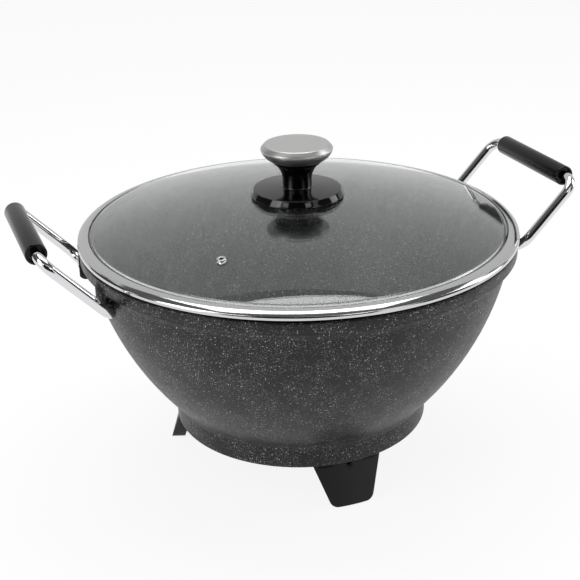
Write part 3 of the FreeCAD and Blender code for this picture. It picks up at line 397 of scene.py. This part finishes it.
class Outline:
    """A closed half section, x out and z up in millimetres, that a spin turns into a round piece."""

    def __init__(self, x: float, z: float) -> None:
        """Start the section at a point."""
        self.mesh = bmesh.new()
        self.first = self.mesh.verts.new((x, 0, z))
        self.last = self.first
        self.rounded: dict[float, list[bmesh.types.BMVert]] = {}

    def to(self, x: float, z: float, rounding: float = 0.0) -> "Outline":
        """Draw a straight line to a point.

        Args:
            x: How far out the point is.
            z: How high the point is.
            rounding: The radius that rounds the corner there, or 0 for a sharp one.

        Returns:
            The outline itself, so that lines chain.
        """
        vertex = self.mesh.verts.new((x, 0, z))
        self.mesh.edges.new((self.last, vertex))
        self.last = vertex
        if rounding:
            self.rounded.setdefault(rounding, []).append(vertex)
        return self

    def arc(self, x: float, z: float, radius: float, side: int, steps: int = 12) -> "Outline":
        """Draw an arc of under a half circle to a point.

        Args:
            x: How far out the arc's end is.
            z: How high the arc's end is.
            radius: The arc's radius.
            side: 1 where it bulges to the right of the way along it, -1 to the left.
            steps: The number of straight steps that draw it.

        Returns:
            The outline itself, so that lines chain.
        """
        start = self.last.co.copy()
        end = Vector((x, 0, z))
        half = (end - start).length / 2
        left = Vector((-(end - start).z, 0, (end - start).x)).normalized()
        centre = (start + end) / 2 + left * math.sqrt(max(radius ** 2 - half ** 2, 0)) * side
        swept = bmesh.ops.spin(self.mesh, geom=[self.last], cent=centre, axis=(0, -side, 0),
                               dvec=(0, 0, 0), angle=2 * math.asin(min(half / radius, 1)),
                               steps=steps, use_duplicate=False)
        self.last = [item for item in swept["geom_last"] if isinstance(item, bmesh.types.BMVert)][0]
        self.last.co = end
        return self

    def spin(self, steps: int = ROUND_STEPS) -> bmesh.types.BMesh:
        """Close the section, round its corners and turn it about the upright axis.

        Args:
            steps: The number of steps in the full turn.

        Returns:
            The closed mesh, still in millimetres.
        """
        mesh = self.mesh
        mesh.edges.new((self.last, self.first))
        for radius, corners in self.rounded.items():
            bmesh.ops.bevel(mesh, geom=corners, offset=radius, offset_type="OFFSET",
                            segments=CORNER_STEPS, profile=0.5, affect="VERTICES", material=-1)
        bmesh.ops.spin(mesh, geom=mesh.verts[:] + mesh.edges[:], cent=(0, 0, 0), axis=(0, 0, 1),
                       dvec=(0, 0, 0), angle=2 * math.pi, steps=steps, use_merge=True, use_duplicate=False)
        bmesh.ops.remove_doubles(mesh, verts=mesh.verts[:], dist=0.001)
        loose = [edge for edge in mesh.edges if not edge.link_faces]
        bmesh.ops.delete(mesh, geom=loose, context="EDGES")
        bmesh.ops.recalc_face_normals(mesh, faces=mesh.faces[:])
        return mesh


class Tube:
    """A round bar that grows step by step from one end, in millimetres."""

    def __init__(self, radius: float, at: Sequence[float], sides: int = 32) -> None:
        """Start the bar as a ring that faces along +Y.

        Args:
            radius: The bar's radius.
            at: The middle of the ring.
            sides: The number of sides of the bar.
        """
        self.mesh = bmesh.new()
        self.radius = radius
        self.centre = Vector(at)
        bmesh.ops.create_circle(self.mesh, cap_ends=False, segments=sides, radius=radius)
        bmesh.ops.rotate(self.mesh, verts=self.mesh.verts[:], cent=(0, 0, 0),
                         matrix=Matrix.Rotation(math.pi / 2, 3, "X"))
        bmesh.ops.translate(self.mesh, verts=self.mesh.verts[:], vec=self.centre)
        self.ring = self.mesh.edges[:]
        self.cap()

    def cap(self) -> None:
        """Close the bar's open ring with a face."""
        bmesh.ops.contextual_create(self.mesh, geom=self.ring)

    def grow(self) -> list[bmesh.types.BMVert]:
        """Extrude the open ring in place and return the new ring's corners."""
        extruded = bmesh.ops.extrude_edge_only(self.mesh, edges=self.ring)["geom"]
        corners = [item for item in extruded if isinstance(item, bmesh.types.BMVert)]
        edges = [item for item in extruded if isinstance(item, bmesh.types.BMEdge)]
        self.ring = [edge for edge in edges if set(corners).issuperset(edge.verts)]
        return corners

    def run(self, way: Sequence[float]) -> "Tube":
        """Run straight on by a vector and return the bar."""
        bmesh.ops.translate(self.mesh, verts=self.grow(), vec=way)
        self.centre = self.centre + Vector(way)
        return self

    def neck(self, radius: float) -> "Tube":
        """Step to another radius at a square shoulder and return the bar."""
        bmesh.ops.scale(self.mesh, verts=self.grow(), vec=Vector((1, 1, 1)) * radius / self.radius,
                        space=Matrix.Translation(-self.centre))
        self.radius = radius
        return self

    def bend(self, about: Sequence[float], angle: float, steps: int = 12) -> "Tube":
        """Turn about an upright axis through a point and return the bar.

        Args:
            about: A point on the bend's axis.
            angle: The turn in degrees, anticlockwise seen from above.
            steps: The number of steps in the bend.

        Returns:
            The bar itself.
        """
        swept = bmesh.ops.spin(self.mesh, geom=self.ring, cent=about, axis=(0, 0, 1), dvec=(0, 0, 0),
                               angle=math.radians(angle), steps=steps, use_duplicate=False)
        self.ring = [item for item in swept["geom_last"] if isinstance(item, bmesh.types.BMEdge)]
        turn = Matrix.Rotation(math.radians(angle), 3, "Z")
        self.centre = Vector(about) + turn @ (self.centre - Vector(about))
        return self


def piece(mesh: bmesh.types.BMesh, name: str, finish: Finish, body: str,
          stands_for: Sequence[str] = (), place: Optional[Matrix] = None,
          sharp: float = 35.0) -> bpy.types.Object:
    """Turn a mesh in millimetres into a finished piece of the wok.

    Args:
        mesh: The mesh, which is used up.
        name: The piece's name.
        finish: Its surface.
        body: The moving body that it rides on.
        stands_for: The nodes that it replaces.
        place: Where the mesh goes, in millimetres.
        sharp: The angle in degrees past which an edge stays sharp.

    Returns:
        The piece's object, at the origin.
    """
    if place is not None:
        bmesh.ops.transform(mesh, matrix=place, verts=mesh.verts[:])
    bmesh.ops.scale(mesh, vec=(MM, MM, MM), verts=mesh.verts[:])
    bmesh.ops.remove_doubles(mesh, verts=mesh.verts[:], dist=1e-7)
    bmesh.ops.recalc_face_normals(mesh, faces=mesh.faces[:])
    data = bpy.data.meshes.new(name)
    mesh.to_mesh(data)
    mesh.free()
    return finish_piece(data, name, finish, body, stands_for, sharp)


def finish_piece(data: bpy.types.Mesh, name: str, finish: Finish, body: str,
                 stands_for: Sequence[str], sharp: float) -> bpy.types.Object:
    """Shade a mesh, dress it and hang it on its body.

    Args:
        data: The mesh in metres.
        name: The piece's name.
        finish: Its surface.
        body: The moving body that it rides on.
        stands_for: The nodes that it replaces.
        sharp: The angle in degrees past which an edge stays sharp.

    Returns:
        The piece's object.
    """
    data.shade_smooth()
    data.set_sharp_from_angle(angle=math.radians(sharp))
    data.materials.clear()
    data.materials.append(finish.material())
    item = bpy.data.objects.new(name, data)
    bpy.context.scene.collection.objects.link(item)
    if stands_for:
        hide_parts(*stands_for)
    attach(item, body)
    LOG.info("%s: %d faces, %s", name, len(data.polygons), finish.name)
    return item


def smooth_copy(node: str, name: str, finish: Finish, body: str,
                sharp: float = 32.0) -> bpy.types.Object:
    """Stand a merged, smoothly shaded copy of a node in for the node.

    Args:
        node: The node.
        name: The copy's name.
        finish: Its surface.
        body: The body that it rides on.
        sharp: The angle in degrees past which an edge stays sharp.

    Returns:
        The copy's object.
    """
    mesh = bmesh.new()
    mesh.from_mesh(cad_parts[node].data)
    bmesh.ops.remove_doubles(mesh, verts=mesh.verts[:], dist=1e-6)
    data = bpy.data.meshes.new(name)
    mesh.to_mesh(data)
    mesh.free()
    return finish_piece(data, name, finish, body, (node,), sharp)


def dress(finish: Finish, *nodes: str) -> None:
    """Give carried-over nodes a finish."""
    for name in nodes:
        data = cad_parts[name].data
        data.materials.clear()
        data.materials.append(finish.material())
        LOG.info("%s: %s", name, finish.name)


def cut_out(item: bpy.types.Object, cutter: bmesh.types.BMesh) -> None:
    """Cut one closed mesh out of a piece and keep the result in the piece's mesh.

    Args:
        item: The piece.
        cutter: The closed mesh in metres, which is used up.
    """
    bmesh.ops.recalc_face_normals(cutter, faces=cutter.faces[:])
    data = bpy.data.meshes.new("cutter")
    cutter.to_mesh(data)
    cutter.free()
    tool = bpy.data.objects.new("cutter", data)
    bpy.context.scene.collection.objects.link(tool)
    change = item.modifiers.new("cut", "BOOLEAN")
    change.operation = "DIFFERENCE"
    change.solver = "EXACT"
    change.object = tool
    bpy.context.view_layer.update()
    result = bpy.data.meshes.new_from_object(item.evaluated_get(bpy.context.evaluated_depsgraph_get()))
    item.modifiers.clear()
    item.data = result
    bpy.data.objects.remove(tool)


@dataclass
class Pan:
    """The cast bowl on its skirt, and what is fixed under and in it."""

    body: str = "base"

    def build(self) -> None:
        """Stand in the coated casting and dress the set screws in its lugs."""
        smooth_copy("pan", "bowl", STONE_COAT, self.body)
        dress(ZINC_STEEL, "handle_screws")


@dataclass
class Lid:
    """The glass dome in its steel ring, with its steam vent and seal; sizes in millimetres."""

    body: str = "lid"
    clearance: float = 0.1
    dome_top: float = 229.25
    dome_radius: float = 591.0
    glass_radius: float = 174.0
    glass_thickness: float = 4.0
    ground_edge: float = 1.1
    shoulder_in: float = 168.0
    shoulder_out: float = 170.4
    shoulder_lift: float = 1.2
    shoulder_bend: float = 0.9
    knob_hole: float = 3.2
    ring_radius: float = 180.0
    ring_sheet: float = 0.9
    ring_bottom: float = 199.0
    ring_lip: float = 3.0
    ring_leg: float = 1.1
    nose_height: float = 2.8
    leg_bottom: float = 190.5
    vent_turn: float = 221.7
    vent_offset: float = 123.0
    vent_hole: float = 1.6
    vent_barrel: float = 2.6
    vent_flange: float = 3.6
    vent_sheet: float = 0.8
    vent_gap: float = 0.05

    def dome(self, radius: float, depth: float = 0.0) -> float:
        """Return the height of the glass near its edge, a depth under its outer face."""
        return self.dome_top - self.dome_radius + math.sqrt((self.dome_radius - depth) ** 2 - radius ** 2)

    def crown_radius(self) -> float:
        """Return the radius of the flatter crown inside the shoulder, from its rise to the top."""
        rise = self.dome_top - self.dome(self.shoulder_in) - self.shoulder_lift
        return (self.shoulder_in ** 2 + rise ** 2) / (2 * rise)

    def crown(self, radius: float, depth: float = 0.0) -> float:
        """Return the height of the crown at a radius, a depth under its outer face."""
        whole = self.crown_radius()
        return self.dome_top - whole + math.sqrt((whole - depth) ** 2 - radius ** 2)

    def build_glass(self) -> None:
        """Spin the crown, the bent shoulder and the ground edge, and drill the vent's hole."""
        hole, edge, depth = self.knob_hole, self.glass_radius, self.glass_thickness
        near, far, ground = self.shoulder_in, self.shoulder_out, self.ground_edge
        bend, whole, steps = self.shoulder_bend, self.crown_radius(), 40
        arc_end = near - 1
        outline = Outline(hole, self.crown(hole, depth))
        outline.arc(arc_end, self.crown(arc_end, depth), whole - depth, -1, steps)
        outline.to(near, self.crown(near, depth), bend).to(far, self.dome(far, depth), bend)
        outline.to(edge - ground, self.dome(edge - ground, depth))
        outline.to(edge, self.dome(edge, depth) + ground).to(edge, self.dome(edge) - ground)
        outline.to(edge - ground, self.dome(edge - ground)).to(far, self.dome(far), bend)
        outline.to(near, self.crown(near), bend).to(arc_end, self.crown(arc_end))
        outline.arc(hole, self.crown(hole), whole, 1, steps)
        glass = piece(outline.spin(), "lid_glass_dome", LID_GLASS, self.body, ("lid_glass",))
        drill = bmesh.new()
        radius = self.vent_barrel + self.clearance
        bmesh.ops.create_cone(drill, cap_ends=True, segments=48, radius1=radius, radius2=radius,
                              depth=6 * depth, matrix=self.vent_place())
        bmesh.ops.scale(drill, vec=(MM, MM, MM), verts=drill.verts[:])
        cut_out(glass, drill)

    def vent_place(self) -> Matrix:
        """Return where the vent stands: square to the glass, in millimetres."""
        tilt = math.asin(self.vent_offset / self.crown_radius())
        return (Matrix.Rotation(math.radians(self.vent_turn), 4, "Z")
                @ Matrix.Translation((self.vent_offset, 0, self.crown(self.vent_offset)))
                @ Matrix.Rotation(tilt, 4, "Y"))

    def build_vent(self) -> None:
        """Spin the riveted steel eyelet with its rolled flange."""
        hole, flange, barrel, gap = self.vent_hole, self.vent_flange, self.vent_barrel, self.vent_gap
        under = -self.glass_thickness - gap
        top = gap + self.vent_sheet
        outline = Outline(hole, under - self.vent_sheet).to(flange, under - self.vent_sheet, 0.3)
        outline.to(flange, under).to(barrel, under).to(barrel, gap).to(flange, gap, 0.1)
        outline.to(flange, top, 0.38).to(hole, top, 0.38)
        piece(outline.spin(64), "steam_vent", POLISHED_STEEL, self.body, ("vent_eyelet",),
              self.vent_place())

    def build_ring(self) -> None:
        """Spin the rolled ring: a lip on the glass, a rounded nose and a leg down into the rim."""
        sheet, bottom, out, edge = self.ring_sheet, self.ring_bottom, self.ring_radius, self.glass_radius
        lip = edge - self.ring_lip
        lip_z = self.dome(lip) + self.clearance
        pocket = edge + 1.5 * sheet
        leg = edge - sheet
        leg_out = leg + self.ring_leg
        flange = self.dome(edge, self.glass_thickness) - self.clearance
        nose = bottom + self.nose_height
        outline = Outline(lip, lip_z).to(lip, lip_z + sheet, 0.35)
        outline.to(pocket + sheet, lip_z + sheet / 4, 1.6).to(out, nose, 1.2).to(out, bottom, 0.4)
        outline.to(pocket + sheet, bottom).to(pocket + sheet, flange - sheet)
        outline.to(leg_out, flange - sheet, 0.4).to(leg_out, self.leg_bottom, 0.3)
        outline.to(leg, self.leg_bottom, 0.3).to(leg, flange).to(pocket, flange)
        outline.to(pocket, bottom + sheet).to(out - sheet, bottom + sheet)
        outline.to(out - sheet, nose - sheet / 2).to(pocket, lip_z - sheet / 2)
        piece(outline.spin(256), "lid_steel_ring", POLISHED_STEEL, self.body, ("lid_ring",))

    def build(self) -> None:
        """Build the glass, its vent and its ring, and dress the seal."""
        self.build_glass()
        self.build_vent()
        self.build_ring()
        dress(SILICONE, "lid_seal")


@dataclass
class Knob:
    """The flared knob with its guard disc and steel cap; sizes in millimetres."""

    body: str = "lid"
    seat: float = 230.05
    bore: float = 4.1
    disc_radius: float = 38.0
    disc_bottom: float = 228.43
    disc_top: float = 234.43
    disc_chamfer: float = 2.3
    disc_slope: float = 4.6
    disc_crown: float = 1.3
    hollow_wall: float = 2.6
    waist: float = 12.0
    waist_fillet: float = 1.2
    flare_height: float = 13.0
    flare_radius: float = 18.0
    stem_top: float = 19.5
    stem_height: float = 256.25
    cap_bottom: float = 258.85
    cap_height: float = 12.8
    cap_rise: float = 8.0
    cap_foot: float = 22.0
    cap_radius: float = 29.2
    cap_top: float = 26.0
    cap_sheet: float = 1.2
    cap_clearance: float = 0.2
    cap_belly: float = 14.0
    cap_border: float = 2.5
    cap_dish: float = 0.5

    def build_grip(self) -> None:
        """Spin the moulded disc and the stem that flares up to the cap."""
        rim, top, waist = self.disc_radius, self.disc_top, self.waist
        ceiling = top - self.hollow_wall
        hollow = rim - self.hollow_wall
        socket = self.cap_foot - self.cap_sheet - self.cap_clearance
        foot = top + self.disc_crown
        outline = Outline(self.bore, self.seat).to(waist, self.seat).to(waist, ceiling, 0.8)
        outline.to(hollow - self.disc_chamfer, ceiling, 0.8)
        outline.to(hollow, self.disc_bottom + 1, 0.4).to(hollow, self.disc_bottom, 0.3)
        outline.to(rim, self.disc_bottom, 0.5).to(rim, top - self.disc_slope, 0.4)
        outline.to(rim - self.disc_chamfer, top, 0.4).to(waist + self.waist_fillet, foot)
        outline.arc(waist, foot + self.waist_fillet, self.waist_fillet, -1)
        outline.to(waist, self.stem_height - self.flare_height)
        outline.arc(self.stem_top, self.stem_height, self.flare_radius, -1, 20)
        outline.to(socket, self.cap_bottom, 0.3).to(socket, self.cap_bottom + self.cap_rise, 0.4)
        outline.to(self.bore, self.cap_bottom + self.cap_rise)
        piece(outline.spin(128), "knob_stem", GLOSS_RESIN, self.body, ("knob_base",))

    def build_cap(self) -> None:
        """Spin the pressed cap: a curved flank, a bright chamfer and a slightly dished top."""
        sheet, bottom, foot, out = self.cap_sheet, self.cap_bottom, self.cap_foot, self.cap_radius
        top = bottom + self.cap_height
        belly = bottom + self.cap_rise
        floor = top - self.cap_dish
        outline = Outline(foot - sheet, bottom).to(foot, bottom).arc(out, belly, self.cap_belly, 1)
        outline.to(out, belly + sheet, 0.5).to(self.cap_top, top, 0.7)
        outline.to(self.cap_top - self.cap_border, floor + 0.1, 0.5).to(0, floor)
        outline.to(0, floor - sheet).to(self.cap_top - sheet, top - sheet)
        outline.to(out - sheet, belly).to(foot - sheet, bottom + sheet)
        piece(outline.spin(128), "knob_steel_cap", BRUSHED_STEEL, self.body, ("knob_cap",))

    def build(self) -> None:
        """Build what shows of the knob, and dress what holds it to the glass."""
        self.build_grip()
        self.build_cap()
        dress(SILICONE, "knob_pad", "knob_gasket")
        dress(ZINC_STEEL, "knob_washer", "knob_screw")
        dress(BRASS, "knob_insert")


@dataclass
class Handle:
    """One bent bar with the tube that turns on it; sizes in millimetres."""

    side: Side
    pin_out: float = 171.5
    pin_up: float = 177.0
    angle: float = 46.5
    reach: float = 71.8
    half_span: float = 65.5
    corner: float = 13.0
    bar_radius: float = 4.25
    pin_radius: float = 2.5
    shoulder: float = 43.5
    pin_length: float = 12.5
    grip_radius: float = 8.25
    grip_half: float = 49.3
    grip_recess: float = 3.0
    grip_recess_radius: float = 6.4
    grip_clearance: float = 0.1
    grip_edge: float = 1.4
    recess_edge: float = 0.4

    def name(self) -> str:
        """Return the side's name as the nodes have it."""
        return self.side.name.lower()

    def build_bar(self) -> None:
        """Draw the bar from one pin round to the other, flat, then tilt it into its lugs."""
        bend = self.half_span - self.corner
        leg = self.reach - 2 * self.corner
        tube = Tube(self.pin_radius, (0, self.pin_length - self.shoulder, 0))
        tube.run((0, -self.pin_length, 0)).neck(self.bar_radius).run((0, self.shoulder - bend, 0))
        far = self.reach - self.corner
        tube.bend((self.corner, -bend, 0), 90).run((leg, 0, 0)).bend((far, -bend, 0), 90)
        tube.run((0, 2 * bend, 0)).bend((far, bend, 0), 90).run((-leg, 0, 0))
        tube.bend((self.corner, bend, 0), 90).run((0, self.shoulder - bend, 0)).neck(self.pin_radius)
        tube.run((0, -self.pin_length, 0)).cap()
        place = (Matrix.Translation((self.side.value * self.pin_out, 0, self.pin_up))
                 @ Matrix.Rotation(0 if self.side is Side.RIGHT else math.pi, 4, "Z")
                 @ Matrix.Rotation(-math.radians(self.angle), 4, "Y"))
        piece(tube.mesh, f"{self.name()}_chrome_bar", CHROME, "base",
              (f"{self.name()}_handle_wire",), place)

    def build_grip(self) -> None:
        """Spin the grip's tube with rounded rims and sunk end faces, and lay it along the bar."""
        bore = self.bar_radius + self.grip_clearance
        half, recess, out = self.grip_half, self.grip_recess_radius, self.grip_radius
        sunk = half - self.grip_recess
        outline = Outline(bore, -sunk).to(recess, -sunk).to(recess, -half, self.recess_edge)
        outline.to(out, -half, self.grip_edge).to(out, half, self.grip_edge)
        outline.to(recess, half, self.recess_edge).to(recess, sunk).to(bore, sunk)
        tilt = math.radians(self.angle)
        place = (Matrix.Translation((self.side.value * (self.pin_out + self.reach * math.cos(tilt)), 0,
                                     self.pin_up + self.reach * math.sin(tilt)))
                 @ Matrix.Rotation(math.pi / 2, 4, "X"))
        piece(outline.spin(64), f"{self.name()}_grip_tube", GRIP_RESIN, f"{self.name()}_grip",
              (f"{self.name()}_grip",), place)

    def build(self) -> None:
        """Build the bar and its grip."""
        self.build_bar()
        self.build_grip()


@dataclass
class Base:
    """The heating parts, the bottom cover, the inlet and the feet."""

    body: str = "base"
    places: Sequence[FootPlace] = tuple(FootPlace)

    def build(self) -> None:
        """Dress the parts under the pan, and stand smoothly shaded copies in for the feet."""
        dress(SHEATH_STEEL, "heating_element", "probe_sleeve")
        dress(CERAMIC, "element_insulators")
        dress(BRASS, "terminal_pins")
        dress(ZINC_STEEL, "element_clamp", "clamp_screws", "base_screws")
        dress(ALUMINIUM, "heat_shield")
        dress(FOOT_RESIN, "base_plate", "inlet_shroud")
        for place in self.places:
            smooth_copy(f"foot_{place.value}", f"{place.value}_foot", FOOT_RESIN, self.body)
            dress(PAD_RUBBER, f"pad_{place.value}")


@dataclass(frozen=True)
class Panel:
    """A glowing or dark board round the wok that only mirrors see; lengths in metres.

    Attributes:
        name: The panel's name.
        turn: Its bearing in degrees, anticlockwise from the camera's side.
        reach: How far out it stands.
        height: How high its middle is.
        size: Its width and height.
        shade: How bright it looks, with 0 for black and 1 for the white of the surroundings.
    """

    name: str
    turn: float
    reach: float
    height: float
    size: tuple[float, float]
    shade: float


@dataclass(frozen=True)
class Lamp:
    """A soft box that points at the middle of the wok: its place and size in metres, and its watts."""

    name: str
    place: tuple[float, float, float]
    size: tuple[float, float]
    watts: float


# The dark boards keep the chrome and the gloss resin from mirroring white alone. The pale back board
# lies over the lid's glass as its grey veil, and the two windows are the glints on the knob.
PANELS = (
    Panel("front_flag", 0, 1.7, 0.85, (2.6, 1.6), 0.02),
    Panel("back_flag", 180, 1.9, 1.05, (6.0, 2.5), 0.66),
    Panel("right_flag", 90, 2.3, 0.95, (3.0, 1.7), 0.08),
    Panel("left_flag", -90, 2.3, 0.95, (3.0, 1.7), 0.08),
    Panel("left_window", -32, 1.3, 1.05, (0.34, 0.24), 2.2),
    Panel("right_window", 28, 1.3, 1.05, (0.34, 0.24), 2.2),
)
LAMPS = (
    Lamp("overhead_box", (0.1, 0.35, 1.7), (1.4, 1.0), 16.0),
    Lamp("left_box", (-1.5, -0.3, 0.9), (0.7, 1.3), 9.0),
    Lamp("right_box", (1.5, -0.2, 0.8), (0.6, 1.2), 7.0),
)


@dataclass
class Studio:
    """The floor, the lamps, the surroundings and the camera; lengths in metres."""

    floor_radius: float = 9.0
    floor_drop: float = 0.0002
    floor_glow: float = 0.88
    floor_colour: str = "#f7f7f7"
    floor_roughness: float = 0.9
    floor_specular: float = 0.1
    ambient: float = 0.5
    lamps_aim: tuple[float, float, float] = (0.0, 0.0, 0.15)
    panels_aim: tuple[float, float, float] = (0.0, 0.0, 0.2)
    ceiling_at: tuple[float, float, float] = (0.0, 0.1, 2.4)
    ceiling_size: tuple[float, float] = (5.0, 4.0)
    ceiling_shade: float = 0.12
    camera_at: tuple[float, float, float] = (-0.3300, -0.8692, 0.5533)
    camera_turn: float = -20.32
    camera_tilt: float = 66.20
    camera_roll: float = -1.146
    lens: float = 74.77
    sensor: float = 36.0
    near_clip: float = 0.01

    def seen(self, tree: bpy.types.NodeTree) -> bpy.types.NodeSocket:
        """Return 1 for the rays that look at the surroundings: straight, mirrored or through glass."""
        rays = add_node(tree, "LightPath").outputs
        two = combine(tree, "MAXIMUM", rays["Is Camera Ray"], rays["Is Glossy Ray"])
        return combine(tree, "MAXIMUM", two, rays["Is Transmission Ray"])

    def build_world(self) -> None:
        """Make the surroundings white to look at and a soft grey light on the object."""
        world = bpy.data.worlds.new("pale_studio")
        bpy.context.scene.world = world
        world.use_nodes = True
        tree = world.node_tree
        background = tree.nodes["Background"]
        background.inputs["Color"].default_value = (1, 1, 1, 1)
        tree.links.new(ramp(tree, self.seen(tree), 0, 1, self.ambient, 1.0), background.inputs["Strength"])

    def build_floor(self) -> None:
        """Lay a pale floor that keeps the object's soft shadow."""
        mesh = bmesh.new()
        bmesh.ops.create_circle(mesh, cap_ends=True, segments=96, radius=self.floor_radius)
        bmesh.ops.translate(mesh, verts=mesh.verts[:], vec=(0, 0, -self.floor_drop))
        data = bpy.data.meshes.new("studio_floor")
        mesh.to_mesh(data)
        mesh.free()
        material = bpy.data.materials.new("pale_studio_floor")
        material.use_nodes = True
        tree = material.node_tree
        shader = tree.nodes["Principled BSDF"]
        shader.inputs["Base Color"].default_value = linear(self.floor_colour)
        shader.inputs["Roughness"].default_value = self.floor_roughness
        shader.inputs["Specular IOR Level"].default_value = self.floor_specular
        glow = add_node(tree, "Emission", {"Color": (1, 1, 1, 1), "Strength": 1.0})
        share = ramp(tree, self.seen(tree), 0, 1, 0.0, self.floor_glow)
        mix = add_node(tree, "MixShader", {0: share, 1: shader.outputs[0], 2: glow.outputs[0]})
        tree.links.new(mix.outputs[0], tree.nodes["Material Output"].inputs["Surface"])
        data.materials.append(material)
        floor = bpy.data.objects.new("studio_floor", data)
        bpy.context.scene.collection.objects.link(floor)

    def add_lamp(self, lamp: Lamp) -> None:
        """Hang one soft box.

        Args:
            lamp: Its place, size and power.
        """
        data = bpy.data.lights.new(lamp.name, "AREA")
        data.shape = "RECTANGLE"
        data.size, data.size_y = lamp.size
        data.energy = lamp.watts
        item = bpy.data.objects.new(lamp.name, data)
        item.location = lamp.place
        way = Vector(self.lamps_aim) - Vector(lamp.place)
        item.rotation_euler = way.to_track_quat("-Z", "Y").to_euler()
        bpy.context.scene.collection.objects.link(item)

    def add_flag(self, name: str, at: Sequence[float], size: Sequence[float], shade: float) -> None:
        """Stand a board that only mirrors see, to draw edges on glossy and bright pieces.

        Args:
            name: The board's name.
            at: Where its middle is; it faces the wok.
            size: Its width and height.
            shade: How bright it looks, with 0 for black.
        """
        mesh = bmesh.new()
        bmesh.ops.create_grid(mesh, x_segments=1, y_segments=1, size=0.5)
        bmesh.ops.scale(mesh, vec=(size[0], size[1], 1.0), verts=mesh.verts[:])
        turn = (Vector(self.panels_aim) - Vector(at)).to_track_quat("-Z", "Y").to_matrix().to_4x4()
        bmesh.ops.transform(mesh, matrix=Matrix.Translation(at) @ turn, verts=mesh.verts[:])
        data = bpy.data.meshes.new(name)
        mesh.to_mesh(data)
        mesh.free()
        material = bpy.data.materials.new(name)
        material.use_nodes = True
        tree = material.node_tree
        cloth = add_node(tree, "Emission", {"Color": (1, 1, 1, 1), "Strength": shade})
        tree.links.new(cloth.outputs[0], tree.nodes["Material Output"].inputs["Surface"])
        data.materials.append(material)
        flag = bpy.data.objects.new(name, data)
        flag.visible_camera = False
        flag.visible_diffuse = False
        flag.visible_shadow = False
        flag.visible_transmission = False
        bpy.context.scene.collection.objects.link(flag)

    def build_flags(self) -> None:
        """Stand the boards round the wok, and hang a dark one over it as the ceiling."""
        away = Vector((self.camera_at[0], self.camera_at[1], 0)).normalized()
        for panel in PANELS:
            out = Matrix.Rotation(math.radians(panel.turn), 3, "Z") @ away * panel.reach
            self.add_flag(panel.name, (out.x, out.y, panel.height), panel.size, panel.shade)
        self.add_flag("ceiling_flag", self.ceiling_at, self.ceiling_size, self.ceiling_shade)

    def build_camera(self) -> None:
        """Set the camera where the photographer's stood."""
        data = bpy.data.cameras.new("photographer")
        data.lens = self.lens
        data.sensor_width = self.sensor
        data.clip_start = self.near_clip
        camera = bpy.data.objects.new("photographer", data)
        camera.matrix_world = (Matrix.Translation(self.camera_at)
                               @ Matrix.Rotation(math.radians(self.camera_turn), 4, "Z")
                               @ Matrix.Rotation(math.radians(self.camera_tilt), 4, "X")
                               @ Matrix.Rotation(math.radians(self.camera_roll), 4, "Z"))
        bpy.context.scene.collection.objects.link(camera)
        bpy.context.scene.camera = camera

    def build(self) -> None:
        """Build the whole studio."""
        self.build_camera()
        self.build_world()
        self.build_floor()
        self.build_flags()
        for lamp in LAMPS:
            self.add_lamp(lamp)
        bpy.context.scene.view_settings.view_transform = "Standard"


def main() -> None:
    """Build the wok's assemblies in order, then the studio."""
    logging.basicConfig(level=logging.INFO, format="%(message)s")
    assemblies = [Pan(), Lid(), Knob(), Handle(Side.RIGHT), Handle(Side.LEFT), Base(), Studio()]
    for assembly in assemblies:
        LOG.info("building %s", type(assembly).__name__)
        assembly.build()


if __name__ == "__main__":
    main()
